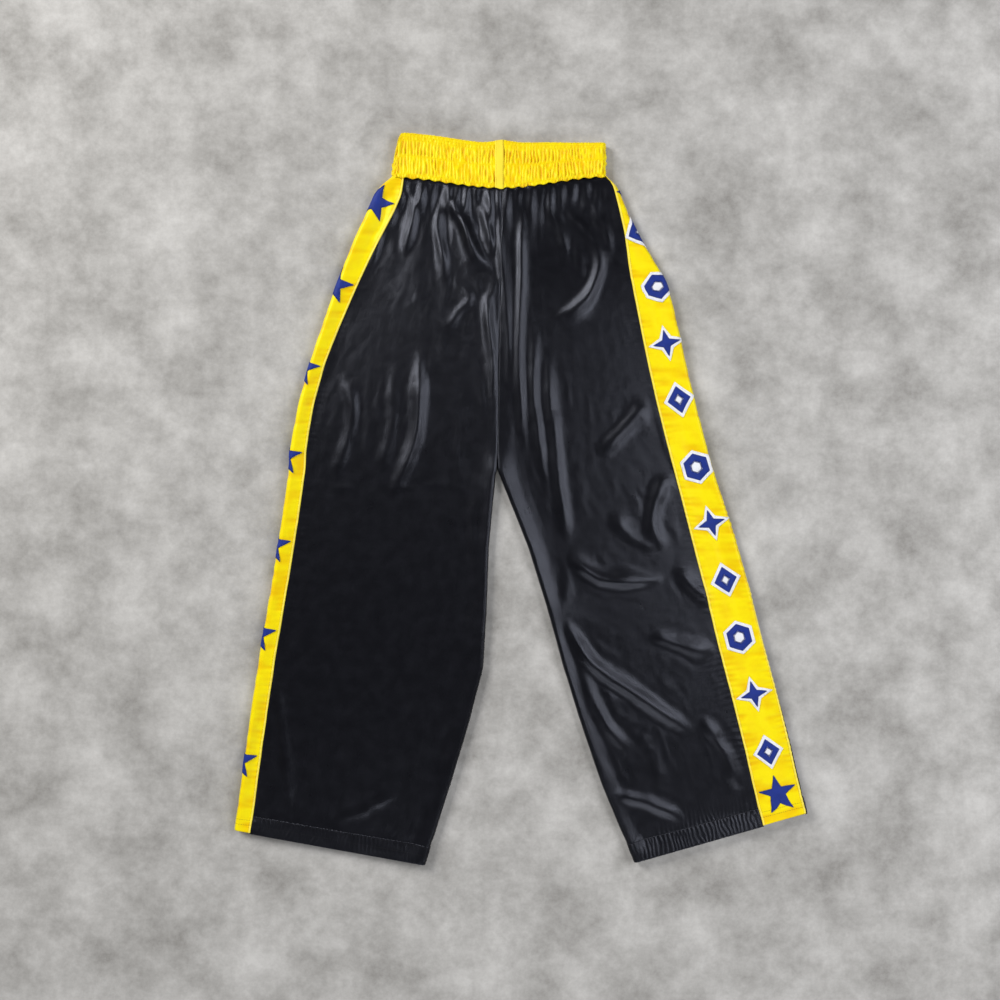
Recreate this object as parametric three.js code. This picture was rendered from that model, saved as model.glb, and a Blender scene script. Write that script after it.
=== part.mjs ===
// Satin kickboxing trousers, laid flat on their back with the legs a little apart.
// Millimetres. +X to the right, +Y from the hems to the waist, +Z up from the floor.
// The origin is on the floor, under the middle of the bounding box.
//
// The cloth follows one master surface: a flattened tube for each leg, and above the crotch
// the two tubes open into one. A place on it is (t, a):
//   t   the row: -1 at the hem, 0 at the crotch, 1 at the waist seam, 2 at the band's top edge
//   a   the distance along the row from the outer fold, positive on the front (upper) layer
//       and negative on the back layer
// and each piece lies at a depth under that surface, or above it where the depth is negative.
import * as THREE from "three";

// ---- Overall sizes -------------------------------------------------------------------------
const WAIST_WIDTH = 287; // the relaxed waistband laid flat
const BAND_HEIGHT = 59;
const RISE = 393; // crotch to waist seam, at the sides
const THIGH_WIDTH = 286; // one leg laid flat, at the crotch
const HEM_WIDTH = 252; // one leg laid flat, at the hem
const LEG_LENGTH = 525; // crotch to hem along the leg
const STRIPE_WIDTH = 58; // the yellow side panel
const HEM_HEIGHT = 22; // the elasticated casing at the leg's end
const STAR_RADIUS = 26.5;
const STRIPE_GATHER = 0.85; // the share of the stripe's width left at the waist seam
const GATHER_START = 0.87; // the row where that gathering starts

// ---- Cloth, elastic and the room between them ----------------------------------------------
const CLOTH = 0.8;
const WAIST_ELASTIC = 1.6; // thickness
const HEM_ELASTIC = 1.2; // thickness
const FIT = 0.3; // room round an elastic or a tucked-in edge inside its casing
const SEAM_GAP = 0.4; // between two pieces that are sewn edge to edge
const WAIST_TUCK = 7; // how far the panels reach up into the waistband
const HEM_TUCK = 6; // how far they reach down into the hem casing
const TURN_ROOM = 0.5; // between an elastic's edge and the fold it lies in
const STRIPE_HEM_RAISE = 8; // the stripe's own hem ends this far above the casing's
const APPLIQUE = 0.4; // thickness of a star, backing patch or motif
const APPLIQUE_GAP = 0.4; // under each of them

// ---- How high the layers lie ----------------------------------------------------------------
const WAIST_LOFT = 14;
const HIP_LOFT = 17;
const THIGH_LOFT = 18;
const KNEE_LOFT = 15;
const HEM_LOFT = 12;
const LIFT = 2 * (APPLIQUE + APPLIQUE_GAP) + 0.1; // clears what is sewn on the underside
const CROTCH_VALLEY = 0.1; // share of the rise over which the front dips to the crotch

// ---- How the garment was laid ----------------------------------------------------------------
const CENTRE_LEAN = 8; // the centre seam leans this far to the right on its way up
const WAIST_SHIFT = 3.5; // the waist's middle lies this far right of the crotch
const SEAM_SAG = 14; // the waist seam dips at the centre
const BAND_TAB_RISE = 5; // the top edge stands up at the join strip
const BAND_TAB_REACH = 14;
const BAND_DROOP = 14; // the band looks lower at its right end, where it rolls over
const BAND_DROOP_START = 20;
const ROW_TURN = 0.91; // share of a leg's splay that the hem line turns by

// For each leg: the splay in degrees; how far the edges stand out from the plain taper at a
// quarter of the leg at a time; the hip line from the waist (0) to the thigh (1) at stations of
// the rise; the width of stripe on the front layer, measured along the rows; the lean of the
// waistband's end.
const LEGS = {
  left: {
    side: -1,
    splay: 9.4,
    outer: [-3, -2, 2.4, 4, 4.5],
    inner: [-3, 10.5, 31, 20, 4.5],
    hip: [
      [0, 0.978], [0.2, 0.885], [0.4, 0.738], [0.6, 0.548],
      [0.75, 0.398], [0.9, 0.211], [0.97, 0.118], [1, 0],
    ],
    stripe: [
      [-1, 20.5], [0, 21], [0.3, 19], [0.45, 22], [0.6, 26],
      [0.8, 33], [0.93, 35], [0.97, 31], [1, 14],
    ],
    endLean: 5,
  },
  right: {
    side: 1,
    splay: 17.5,
    outer: [3, 4.9, 1, 0, -4.4],
    inner: [3, -5.3, 1.3, 3.9, -4.4],
    hip: [
      [0, 1.04], [0.2, 0.89], [0.4, 0.753], [0.6, 0.62],
      [0.7, 0.495], [0.8, 0.318], [0.9, 0.186], [0.97, 0.106], [1, 0],
    ],
    stripe: [
      [-1, 63], [-0.6, 59.5], [-0.2, 57], [0, 52], [0.3, 50.5], [0.5, 49],
      [0.6, 47], [0.7, 37], [0.8, 17], [0.9, 8], [0.97, 4.5], [1, 0],
    ],
    endLean: 1.5,
  },
};

// ---- Appliqué, by distance along the stripe ---------------------------------------------------
const LEFT_STARS = 6; // evenly spaced from the waist
const LEFT_STAR_FIRST = 46; // the first one's centre under the waist seam
const LEFT_STAR_PITCH = 121.5;
const LEFT_STAR_LAST = 102; // one more, its centre this far above the hem
const RIGHT_STAR_FROM_HEM = 36;
const RIGHT_STAR_FROM_WAIST = 42;
const PATCH_FIRST = 93; // the lowest patch's centre above the hem
const PATCH_TO_STAR = 52; // from the highest patch's centre to the star by the waist
const PATCH_GROUP = 6; // a wider space follows this many patches
const PATCH_SPACE = 16; // and is this much wider
const PATCHES = 10;
const MOTIF_HEIGHT = 37;
const MOTIF_WIDTH = 31;
const PATCH_MARGIN = 3.8; // white cloth round a motif

// ---- Facets ------------------------------------------------------------------------------------
const EDGE_COLUMNS = 3; // narrow columns at each side of a panel, for its rounded edges
const EDGE_STEP = 4.6;
const MIDDLE_COLUMNS = 4;
const STRIPE_COLUMNS = 10;
const BAND_FOLD_COLUMNS = 4;
const BAND_FLAT_COLUMNS = 10;
const COLUMNS = 2 * EDGE_COLUMNS + MIDDLE_COLUMNS;
const CUT_MARGIN = 1e-6; // a corner this near a cut counts as on it

const WAIST_TUCK_ROW = 1 + WAIST_TUCK / BAND_HEIGHT;
const HEM_TOP_ROW = -1 + HEM_HEIGHT / LEG_LENGTH;
const HEM_TUCK_ROW = HEM_TOP_ROW - HEM_TUCK / LEG_LENGTH;
const STRIPE_END_ROW = -1 + STRIPE_HEM_RAISE / LEG_LENGTH;
const FREE_ROWS = [
  -0.925, -0.8, -0.65, -0.5, -0.35, -0.2, -0.08, 0,
  0.05, CROTCH_VALLEY, 0.22, 0.36, 0.48, 0.57, 0.635, 0.69, 0.745, 0.8, GATHER_START, 0.93, 0.975,
];
const PANEL_ROWS = [HEM_TUCK_ROW, HEM_TOP_ROW, ...FREE_ROWS, 1, WAIST_TUCK_ROW];
const STRIPE_ROWS = [STRIPE_END_ROW, HEM_TOP_ROW, ...FREE_ROWS, 1, WAIST_TUCK_ROW];

// ---- Small functions -------------------------------------------------------------------------
const lerp = THREE.MathUtils.lerp;
const smoothstep = THREE.MathUtils.smoothstep;

// A smooth curve through stations [t, value], with no overshoot.
function through(stations, t) {
  const last = stations.length - 1;
  let i = 0;
  while (i < last - 1 && t > stations[i + 1][0]) i += 1;
  const slope = (k) =>
    (stations[k + 1][1] - stations[k][1]) / (stations[k + 1][0] - stations[k][0]);
  const blend = (p, q) => (p * q > 0 ? (2 * p * q) / (p + q) : 0);
  const here = slope(i);
  const m0 = i > 0 ? blend(slope(i - 1), here) : here;
  const m1 = i < last - 1 ? blend(here, slope(i + 1)) : here;
  const [[t0, v0], [t1, v1]] = [stations[i], stations[i + 1]];
  const span = t1 - t0;
  const s = THREE.MathUtils.clamp((t - t0) / span, 0, 1);
  return (
    v0 * (1 + 2 * s) * (1 - s) ** 2 + v1 * (3 - 2 * s) * s * s +
    span * (m0 * s * (1 - s) ** 2 - m1 * (1 - s) * s * s)
  );
}

const quarters = (values) => values.map((value, i) => [i / 4, value]);

// ---- The master surface ------------------------------------------------------------------------
// The ends of a row on the floor plan: its inner end and its outer end.
function rowEnds(leg, t) {
  if (t > 0) {
    const up = Math.min(t, 1);
    const lean = leg.endLean * Math.max(t - 1, 0);
    const flare = (THIGH_WIDTH - WAIST_WIDTH / 2) * through(leg.hip, up);
    return {
      inner: new THREE.Vector2(CENTRE_LEAN * up, (RISE - SEAM_SAG) * up),
      outer: new THREE.Vector2(
        leg.side * (WAIST_WIDTH / 2 + flare - lean) + WAIST_SHIFT * up,
        RISE * up,
      ),
    };
  }
  const down = -t;
  const splay = THREE.MathUtils.degToRad(leg.splay);
  const turn = ROW_TURN * splay * down;
  const plain = lerp(THIGH_WIDTH, HEM_WIDTH, down) / 2;
  const across = new THREE.Vector2(leg.side * Math.cos(turn), Math.sin(turn));
  const middle = new THREE.Vector2(
    leg.side * (THIGH_WIDTH / 2 + leg.inner[0] + Math.sin(splay) * LEG_LENGTH * down),
    -Math.cos(splay) * LEG_LENGTH * down,
  );
  return {
    inner: middle.clone().addScaledVector(across, -plain - through(quarters(leg.inner), down)),
    outer: middle.clone().addScaledVector(across, plain + through(quarters(leg.outer), down)),
  };
}

function bandHeight(x) {
  const tab = BAND_TAB_RISE * Math.exp(-(((x - CENTRE_LEAN) / BAND_TAB_REACH) ** 2));
  const droop = BAND_DROOP * smoothstep(x, BAND_DROOP_START, WAIST_WIDTH / 2);
  return BAND_HEIGHT + tab - droop;
}

// The floor-plan place of a share s of a row, from its inner end to its outer end.
function onRow(leg, t, s) {
  const { inner, outer } = rowEnds(leg, t);
  const curve = THREE.MathUtils.clamp(t, 0, 1);
  const eased = lerp(s, (1 - Math.cos(Math.PI * s)) / 2, curve);
  const x = lerp(inner.x, outer.x, s);
  const y = lerp(inner.y, outer.y, eased) + Math.max(t - 1, 0) * bandHeight(x);
  return [x, y];
}

const LOFT = [
  [-1, HEM_LOFT], [HEM_TOP_ROW, HEM_LOFT], [-0.5, KNEE_LOFT],
  [0, THIGH_LOFT], [0.5, HIP_LOFT], [0.975, WAIST_LOFT], [2, WAIST_LOFT],
];
const LIFTS = [[-1, 0], [HEM_TOP_ROW, 0], [-0.925, LIFT], [0.975, LIFT], [1, 0], [2, 0]];

// A row's cross-section: its radius at the folds, its height above the floor, how far the cloth
// turns down at the inner edge, and the distance from the outer fold to the inner end.
function section(leg, t) {
  const { inner, outer } = rowEnds(leg, t);
  const length = inner.distanceTo(outer);
  const radius = through(LOFT, t) / 2;
  const turn = (Math.PI / 2) * (1 - smoothstep(t, 0, CROTCH_VALLEY));
  const quarter = (Math.PI / 2) * radius;
  const flat = length - radius - radius * Math.sin(turn);
  const lift = through(LIFTS, t);
  return { length, radius, turn, quarter, flat, lift, end: quarter + flat + radius * turn };
}

// The place (t, a) at a depth under the master surface.
function place(leg, t, a, depth) {
  const cut = section(leg, t);
  const upper = a < 0 ? -1 : 1;
  const far = Math.abs(a);
  let centre = cut.length - cut.radius;
  let out = Math.cos(a / cut.radius);
  let up = Math.sin(a / cut.radius);
  if (far > cut.quarter) {
    const past = far - cut.quarter;
    const angle = Math.max(past - cut.flat, 0) / cut.radius;
    centre = past > cut.flat ? cut.radius * Math.sin(cut.turn) : centre - past;
    out = -Math.sin(angle);
    up = upper * Math.cos(angle);
  }
  const along = centre + (cut.radius - depth) * out;
  const [x, y] = onRow(leg, t, along / cut.length);
  return [x, y, cut.lift + cut.radius + (cut.radius - depth) * up];
}

// How far the front seam of the stripe lies from the outer fold along the row.
function seamAt(leg, t) {
  const shown = through(leg.stripe, Math.min(t, 1));
  const { radius, quarter } = section(leg, t);
  if (shown >= radius) return shown - radius + quarter;
  return radius * Math.acos(1 - shown / radius);
}

// The angle between a row and the square across the stripe, positive where the row runs
// towards the waist on its way out.
function skew(leg, t) {
  const step = 0.01;
  const tangent = rowEnds(leg, Math.min(t + step, 1)).outer
    .sub(rowEnds(leg, Math.min(t + step, 1) - 2 * step).outer)
    .normalize();
  const { inner, outer } = rowEnds(leg, t);
  return Math.asin(outer.sub(inner).normalize().dot(tangent));
}

// The stripe's width along a row, which the waistband's elastic gathers.
function stripeAcross(leg, t) {
  const gathered = lerp(1, STRIPE_GATHER, smoothstep(t, GATHER_START, 1));
  return (gathered * STRIPE_WIDTH) / Math.cos(skew(leg, Math.min(t, GATHER_START)));
}

// How deep the panels lie: under the surface, except where a casing holds their edge.
function tuck(t) {
  const held = CLOTH + FIT;
  if (t >= 1 || t <= HEM_TOP_ROW) return held;
  return 0;
}

// ---- Bending plain geometries onto the surface ---------------------------------------------------
function bend(geometry, move) {
  const position = geometry.getAttribute("position");
  for (let i = 0; i < position.count; i += 1) {
    position.setXYZ(i, ...move(position.getX(i), position.getY(i), position.getZ(i)));
  }
  geometry.deleteAttribute("uv");
  geometry.computeVertexNormals();
  return geometry;
}

const group = new THREE.Group();

function add(name, geometry, material) {
  const mesh = new THREE.Mesh(geometry, material);
  mesh.name = name;
  group.add(mesh);
}

// A slab over rows and columns. column(i, t) gives the distance a; its order decides which way
// the slab's faces point, so a slab that comes out mirrored is turned back here.
function slab(leg, rows, count, column, depthAt, thickness = CLOTH) {
  const plain = new THREE.BoxGeometry(1, 1, 1, count, rows.length - 1, 1);
  const made = bend(plain, (x, y, z) => {
    const t = rows[Math.round((y + 0.5) * (rows.length - 1))];
    const a = column(Math.round((x + 0.5) * count), t);
    return place(leg, t, a, depthAt(t) + (0.5 - z) * thickness);
  });
  return facingOut(made, leg);
}

// The left leg mirrors the right one's rows, which turns its faces inside out.
function facingOut(geometry, leg) {
  if (leg.side > 0) return geometry;
  const index = geometry.index.array;
  for (let i = 0; i < index.length; i += 3) {
    [index[i + 1], index[i + 2]] = [index[i + 2], index[i + 1]];
  }
  return geometry;
}

// The distance from one side of a panel's row to column i.
function columnAt(i, length) {
  if (i <= EDGE_COLUMNS) return i * EDGE_STEP;
  if (i >= COLUMNS - EDGE_COLUMNS) return length - (COLUMNS - i) * EDGE_STEP;
  const middle = length - 2 * EDGE_COLUMNS * EDGE_STEP;
  return EDGE_COLUMNS * EDGE_STEP + (middle * (i - EDGE_COLUMNS)) / MIDDLE_COLUMNS;
}

function frontColumn(leg, i, t) {
  const start = section(leg, t).end - SEAM_GAP / 2;
  return start - columnAt(i, start - seamAt(leg, t) - SEAM_GAP);
}

function backColumn(leg, i, t) {
  const start = seamAt(leg, t) - stripeAcross(leg, t) - SEAM_GAP;
  return start - columnAt(i, start + section(leg, t).end - SEAM_GAP / 2);
}

function stripeColumn(leg, i, t) {
  return seamAt(leg, t) - (stripeAcross(leg, t) * i) / STRIPE_COLUMNS;
}

// ---- Materials --------------------------------------------------------------------------------
const cloth = (name, color, roughness) =>
  new THREE.MeshStandardMaterial({ name, color, roughness, metalness: 0 });
const BLACK_SATIN = cloth("black_satin", 0x17171b, 0.35);
const YELLOW_SATIN = cloth("yellow_satin", 0xf9dc12, 0.4);
const BLUE_SATIN = cloth("blue_satin", 0x1a3a9c, 0.5);
const WHITE_TWILL = cloth("white_twill", 0xf0f0f2, 0.7);
const ELASTIC = cloth("elastic", 0xe8e6de, 0.9);

// ---- Legs ------------------------------------------------------------------------------------
function legPanels(name, leg) {
  add(
    `${name}_front_panel`,
    slab(leg, PANEL_ROWS, COLUMNS, (i, t) => frontColumn(leg, i, t), tuck),
    BLACK_SATIN,
  );
  add(
    `${name}_back_panel`,
    slab(leg, PANEL_ROWS, COLUMNS, (i, t) => backColumn(leg, i, t), tuck),
    BLACK_SATIN,
  );
  add(
    `${name}_side_stripe`,
    slab(leg, STRIPE_ROWS, STRIPE_COLUMNS, (i, t) => stripeColumn(leg, i, t), (t) =>
      t >= 1 ? tuck(t) : 0),
    YELLOW_SATIN,
  );
}

// The hem casing is a channel, open upwards, that runs from the front seam of the stripe round
// the inner edge to its back seam. The elastic lies in it.
const HEM_DEPTH = 2 * CLOTH + 2 * FIT + HEM_ELASTIC;

function channel(height, thickness) {
  const shape = new THREE.Shape();
  shape.moveTo(0, 0);
  shape.lineTo(height, 0);
  shape.lineTo(height, CLOTH);
  shape.lineTo(CLOTH, CLOTH);
  shape.lineTo(CLOTH, thickness - CLOTH);
  shape.lineTo(height, thickness - CLOTH);
  shape.lineTo(height, thickness);
  shape.lineTo(0, thickness);
  shape.closePath();
  return shape;
}

function bar(low, high, near, far) {
  const shape = new THREE.Shape();
  shape.moveTo(low, near);
  shape.lineTo(high, near);
  shape.lineTo(high, far);
  shape.lineTo(low, far);
  shape.closePath();
  return shape;
}

function hemRing(leg, shape, shorten) {
  const steps = 2 * COLUMNS;
  const plain = new THREE.ExtrudeGeometry(shape, { depth: 1, steps, bevelEnabled: false });
  const made = bend(plain, (x, y, z) => {
    const t = -1 + x / LEG_LENGTH;
    const i = Math.round(z * steps);
    const { end } = section(leg, t);
    const front = end - seamAt(leg, t) - SEAM_GAP;
    const back = end + seamAt(leg, t) - stripeAcross(leg, t) - SEAM_GAP;
    const inset = shorten * ((i === 0) - (i === steps));
    const a = i <= COLUMNS
      ? end - front + columnAt(i, front)
      : -end + columnAt(i - COLUMNS, back);
    return place(leg, t, a + inset, y);
  });
  return turned(made, leg.side < 0);
}

// ExtrudeGeometry has no index, so its triangles are turned round in place.
function turned(geometry, wanted) {
  if (!wanted) return geometry;
  const position = geometry.getAttribute("position");
  const a = new THREE.Vector3();
  const b = new THREE.Vector3();
  for (let i = 0; i < position.count; i += 3) {
    a.fromBufferAttribute(position, i + 1);
    b.fromBufferAttribute(position, i + 2);
    position.setXYZ(i + 1, b.x, b.y, b.z);
    position.setXYZ(i + 2, a.x, a.y, a.z);
  }
  geometry.computeVertexNormals();
  return geometry;
}

function hem(name, leg) {
  const elastic = bar(
    CLOTH + TURN_ROOM, HEM_HEIGHT - HEM_TUCK - TURN_ROOM,
    CLOTH + FIT, CLOTH + FIT + HEM_ELASTIC,
  );
  add(`${name}_hem_casing`, hemRing(leg, channel(HEM_HEIGHT, HEM_DEPTH), 0), BLACK_SATIN);
  add(`${name}_hem_elastic`, hemRing(leg, elastic, 1), ELASTIC);
}

// ---- Waistband ---------------------------------------------------------------------------------
// The casing is folded over the elastic at the top and open downwards, where it holds the
// panels' gathered edge. It is one ring, lathed and then bent onto the band's flat loop.
const BAND_DEPTH = 2 * CLOTH + 2 * FIT + WAIST_ELASTIC;
const BAND_QUARTER = BAND_FOLD_COLUMNS + BAND_FLAT_COLUMNS;
const LATHE_RADIUS = 100;

function bandRing(profile) {
  const steps = 4 * BAND_QUARTER;
  const points = [...profile, profile[0]].reverse().map(
    ([height, depth]) => new THREE.Vector2(LATHE_RADIUS - depth, height),
  );
  return bend(new THREE.LatheGeometry(points, steps), (x, y, z) => {
    const turn = (Math.atan2(x, z) / (2 * Math.PI) + 1) % 1;
    const step = Math.round(turn * steps) % steps;
    const onLeft = step < 2 * BAND_QUARTER;
    const leg = onLeft ? LEGS.left : LEGS.right;
    const fromCentre = onLeft ? step : steps - step;
    const t = 1 + y / BAND_HEIGHT;
    const { quarter, end } = section(leg, t);
    const k = Math.abs(BAND_QUARTER - fromCentre);
    const a = k <= BAND_FOLD_COLUMNS
      ? (quarter * k) / BAND_FOLD_COLUMNS
      : lerp(quarter, end, (k - BAND_FOLD_COLUMNS) / BAND_FLAT_COLUMNS);
    const signed = fromCentre <= BAND_QUARTER ? a : -a;
    return place(leg, t, signed, LATHE_RADIUS - Math.hypot(x, z));
  });
}

function waistband() {
  const top = BAND_HEIGHT;
  const casing = [
    [0, 0], [top, 0], [top, BAND_DEPTH], [0, BAND_DEPTH], [0, BAND_DEPTH - CLOTH],
    [top - CLOTH, BAND_DEPTH - CLOTH], [top - CLOTH, CLOTH], [0, CLOTH],
  ];
  const low = WAIST_TUCK + TURN_ROOM;
  const high = top - CLOTH - TURN_ROOM;
  const near = CLOTH + FIT;
  const elastic = [
    [low, near], [high, near], [high, near + WAIST_ELASTIC], [low, near + WAIST_ELASTIC],
  ];
  add("waistband_casing", bandRing(casing), YELLOW_SATIN);
  add("waist_elastic", bandRing(elastic), ELASTIC);
}

// The flat strip sewn over the place where the waistband's ends meet.
const JOIN_WIDTH = 11.5;
const JOIN_CENTRE = CENTRE_LEAN - 4;
const JOIN_MARGIN = 1.5; // at the band's top and bottom edges

function joinStrip() {
  const plain = new THREE.BoxGeometry(1, 1, 1, 2, 4, 1);
  return bend(plain, (across, along, out) => {
    const x = JOIN_CENTRE + across * JOIN_WIDTH;
    const height = bandHeight(x) - 2 * JOIN_MARGIN;
    const y = RISE - SEAM_SAG + JOIN_MARGIN + (along + 0.5) * height;
    return [x, y, WAIST_LOFT + SEAM_GAP + (out + 0.5) * CLOTH];
  });
}

// ---- Appliqué ----------------------------------------------------------------------------------
// The distance from the hem along the stripe, at each of its rows.
function stripeLengths(leg) {
  const rows = [-1, ...STRIPE_ROWS.slice(0, -1)];
  let length = 0;
  return rows.map((t, i) => {
    if (i > 0) {
      length += rowEnds(leg, t).outer.distanceTo(rowEnds(leg, rows[i - 1]).outer);
    }
    return [length, t];
  });
}

// The facet grid of a stripe: its column width, and its rows as [distance, row] pairs.
function stripeGrid(leg) {
  return { width: STRIPE_WIDTH / STRIPE_COLUMNS, rows: stripeLengths(leg) };
}

// The grid cell that holds a point, with x measured from the stripe's front seam.
function cellAt(grid, x, y) {
  const column = Math.floor(x / grid.width);
  const above = grid.rows.findIndex(([length]) => length > y);
  const row = (above < 0 ? grid.rows.length : Math.max(above, 1)) - 1;
  return { column, row: Math.min(row, grid.rows.length - 2) };
}

// How far across and along its cell a point lies, from 0 to 1.
function shareOf(grid, cell, x, y) {
  const [from, to] = [grid.rows[cell.row][0], grid.rows[cell.row + 1][0]];
  return [x / grid.width - cell.column, (y - from) / (to - from)];
}

// A place on the stripe's facets. A cell's two triangles meet where both shares are equal.
function onStripe(leg, grid, x, y, depth) {
  const cell = cellAt(grid, x, y);
  const corner = (column, row) => {
    const t = grid.rows[row][1];
    return new THREE.Vector3(...place(leg, t, stripeColumn(leg, column, t), depth));
  };
  const { column, row } = cell;
  const [across, along] = shareOf(grid, cell, x, y);
  const side = along > across ? corner(column, row + 1) : corner(column + 1, row);
  return corner(column, row).multiplyScalar(1 - Math.max(across, along))
    .addScaledVector(side, Math.abs(along - across))
    .addScaledVector(corner(column + 1, row + 1), Math.min(across, along));
}

// The part of a polygon on one side of the line where over(point) is zero.
function clip(polygon, over, side) {
  const onLine = polygon.every((p) => Math.abs(over(p)) <= CUT_MARGIN);
  if (onLine && side < 0) return [];
  const kept = [];
  polygon.forEach((p, i) => {
    const q = polygon[(i + 1) % polygon.length];
    if (side * over(p) >= -CUT_MARGIN) kept.push(p);
    if (Math.min(over(p), over(q)) < -CUT_MARGIN && Math.max(over(p), over(q)) > CUT_MARGIN) {
      const [low, high] = over(p) < over(q) ? [p, q] : [q, p];
      kept.push(low.clone().lerp(high, over(low) / (over(low) - over(high))));
    }
  });
  return kept;
}

const split = (polygons, over) =>
  polygons.flatMap((polygon) => [clip(polygon, over, 1), clip(polygon, over, -1)])
    .filter((polygon) => polygon.length > 2);

const centreOf = (polygon) =>
  polygon.reduce((sum, p) => sum.addScaledVector(p, 1 / polygon.length), new THREE.Vector3());

// A polygon's triangles, all from its leftmost corner, so that the two faces of a prism match.
function fan(polygon) {
  const rank = (p) => p.x + 1e-3 * p.y;
  const start = polygon.reduce((best, p, i) => (rank(p) < rank(polygon[best]) ? i : best), 0);
  const wound = [...polygon.slice(start), ...polygon.slice(0, start)];
  return wound.slice(2).map((p, i) => [wound[0], wound[i + 1], p]);
}

function trianglesOf(geometry) {
  const source = geometry.getAttribute("position");
  const corner = (i) => new THREE.Vector3().fromBufferAttribute(source, i);
  const starts = Array.from({ length: source.count / 3 }, (_, k) => 3 * k);
  return starts.map((i) => [corner(i), corner(i + 1), corner(i + 2)]);
}

// The stripe's columns that go round the fold or lie next to it.
function bendingColumns(leg, grid, t) {
  const beside = section(leg, t).quarter + grid.width;
  return Array.from({ length: STRIPE_COLUMNS + 1 }, (_, i) => i)
    .filter((i) => Math.abs(stripeColumn(leg, i, t)) < beside);
}

// A flat shape, given in mm across and along the stripe, laid on the stripe at a layer. Its
// facets end where the stripe's own do, so that it bends with the stripe.
function applique(name, leg, shape, distance, layer, material) {
  const grid = stripeGrid(leg);
  const t = rowAt(grid.rows, distance);
  const angle = skew(leg, t);
  const raise = APPLIQUE_GAP + layer * (APPLIQUE + APPLIQUE_GAP);
  const flat = bend(
    new THREE.ExtrudeGeometry(shape, { depth: 1, bevelEnabled: false }),
    (x, y, z) => [STRIPE_WIDTH / 2 + x, distance + y - x * Math.tan(angle), z],
  );
  let facets = trianglesOf(flat);
  const bending = bendingColumns(leg, grid, t);
  for (const i of bending) facets = split(facets, (p) => p.x - i * grid.width);
  for (const [length] of grid.rows) facets = split(facets, (p) => p.y - length);
  facets = facets.flatMap((facet) => {
    const { x, y } = centreOf(facet);
    const cell = cellAt(grid, x, y);
    const bent = bending.includes(cell.column) && bending.includes(cell.column + 1);
    if (!bent) return [facet];
    return split([facet], (p) => {
      const [across, along] = shareOf(grid, cell, p.x, p.y);
      return across - along;
    });
  });
  const points = facets.flatMap((facet) => fan(facet).flat())
    .map((p) => onStripe(leg, grid, p.x, p.y, -raise - p.z * APPLIQUE));
  const made = new THREE.BufferGeometry().setFromPoints(points);
  made.computeVertexNormals();
  add(name, turned(made, leg.side < 0), material);
}

function rowAt(lengths, distance) {
  const i = Math.max(1, lengths.findIndex(([length]) => length >= distance));
  const [[from, low], [to, high]] = [lengths[i - 1], lengths[i]];
  return lerp(low, high, (distance - from) / (to - from));
}

function pointed(tips, outer, inner, stretch = 1) {
  const shape = new THREE.Shape();
  for (let i = 0; i < 2 * tips; i += 1) {
    const angle = (Math.PI * i) / tips;
    const radius = i % 2 ? inner : outer;
    const [x, y] = [-radius * Math.sin(angle), stretch * radius * Math.cos(angle)];
    if (i === 0) shape.moveTo(x, y);
    else shape.lineTo(x, y);
  }
  return shape;
}

const STAR_WAIST = Math.sin(Math.PI / 10) / Math.sin((3 * Math.PI) / 10); // inner share

const star = () => pointed(5, STAR_RADIUS, STAR_RADIUS * STAR_WAIST);

// The motifs and their white backings: an open lozenge, a four-pointed star and an open hexagon.
function lozenge(width, height) {
  return pointed(2, height / 2, width / 2);
}

function openLozenge(margin) {
  const slope = Math.hypot(MOTIF_WIDTH, MOTIF_HEIGHT);
  const grow = (2 * margin * slope) / MOTIF_HEIGHT;
  const tall = (2 * margin * slope) / MOTIF_WIDTH;
  const shape = lozenge(MOTIF_WIDTH + grow, MOTIF_HEIGHT + tall);
  if (!margin) shape.holes.push(lozenge(MOTIF_WIDTH / 3, MOTIF_HEIGHT / 3));
  return shape;
}

function fourPoint(margin) {
  const stretch = MOTIF_HEIGHT / MOTIF_WIDTH;
  const outer = MOTIF_WIDTH / 2 + 1.4 * margin;
  return pointed(4, outer, MOTIF_WIDTH / 5 + 1.6 * margin, stretch);
}

function openHexagon(margin) {
  const flat = Math.cos(Math.PI / 6);
  const outer = MOTIF_HEIGHT / 2 + margin / flat - 1;
  const shape = pointed(3, outer, outer);
  if (!margin) shape.holes.push(pointed(3, outer / 2.6, outer / 2.6));
  return shape;
}

const MOTIFS = [openLozenge, fourPoint, openHexagon];

function leftStars() {
  const leg = LEGS.left;
  const whole = stripeLengths(leg).at(-1)[0];
  for (let i = 0; i < LEFT_STARS; i += 1) {
    const distance = whole - LEFT_STAR_FIRST - i * LEFT_STAR_PITCH;
    applique(`left_star_${i + 1}`, leg, star(), distance, 0, BLUE_SATIN);
  }
  applique(`left_star_${LEFT_STARS + 1}`, leg, star(), LEFT_STAR_LAST, 0, BLUE_SATIN);
}

function rightAppliques() {
  const leg = LEGS.right;
  const whole = stripeLengths(leg).at(-1)[0];
  applique("right_star_low", leg, star(), RIGHT_STAR_FROM_HEM, 0, BLUE_SATIN);
  applique("right_star_high", leg, star(), whole - RIGHT_STAR_FROM_WAIST, 0, BLUE_SATIN);
  const last = whole - RIGHT_STAR_FROM_WAIST - PATCH_TO_STAR;
  const pitch = (last - PATCH_SPACE - PATCH_FIRST) / (PATCHES - 1);
  for (let i = 0; i < PATCHES; i += 1) {
    const space = i < PATCH_GROUP ? 0 : PATCH_SPACE;
    const distance = PATCH_FIRST + i * pitch + space;
    const motif = MOTIFS[i % MOTIFS.length];
    applique(`right_patch_${i + 1}`, leg, motif(PATCH_MARGIN), distance, 0, WHITE_TWILL);
    applique(`right_motif_${i + 1}`, leg, motif(0), distance, 1, BLUE_SATIN);
  }
}

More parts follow.
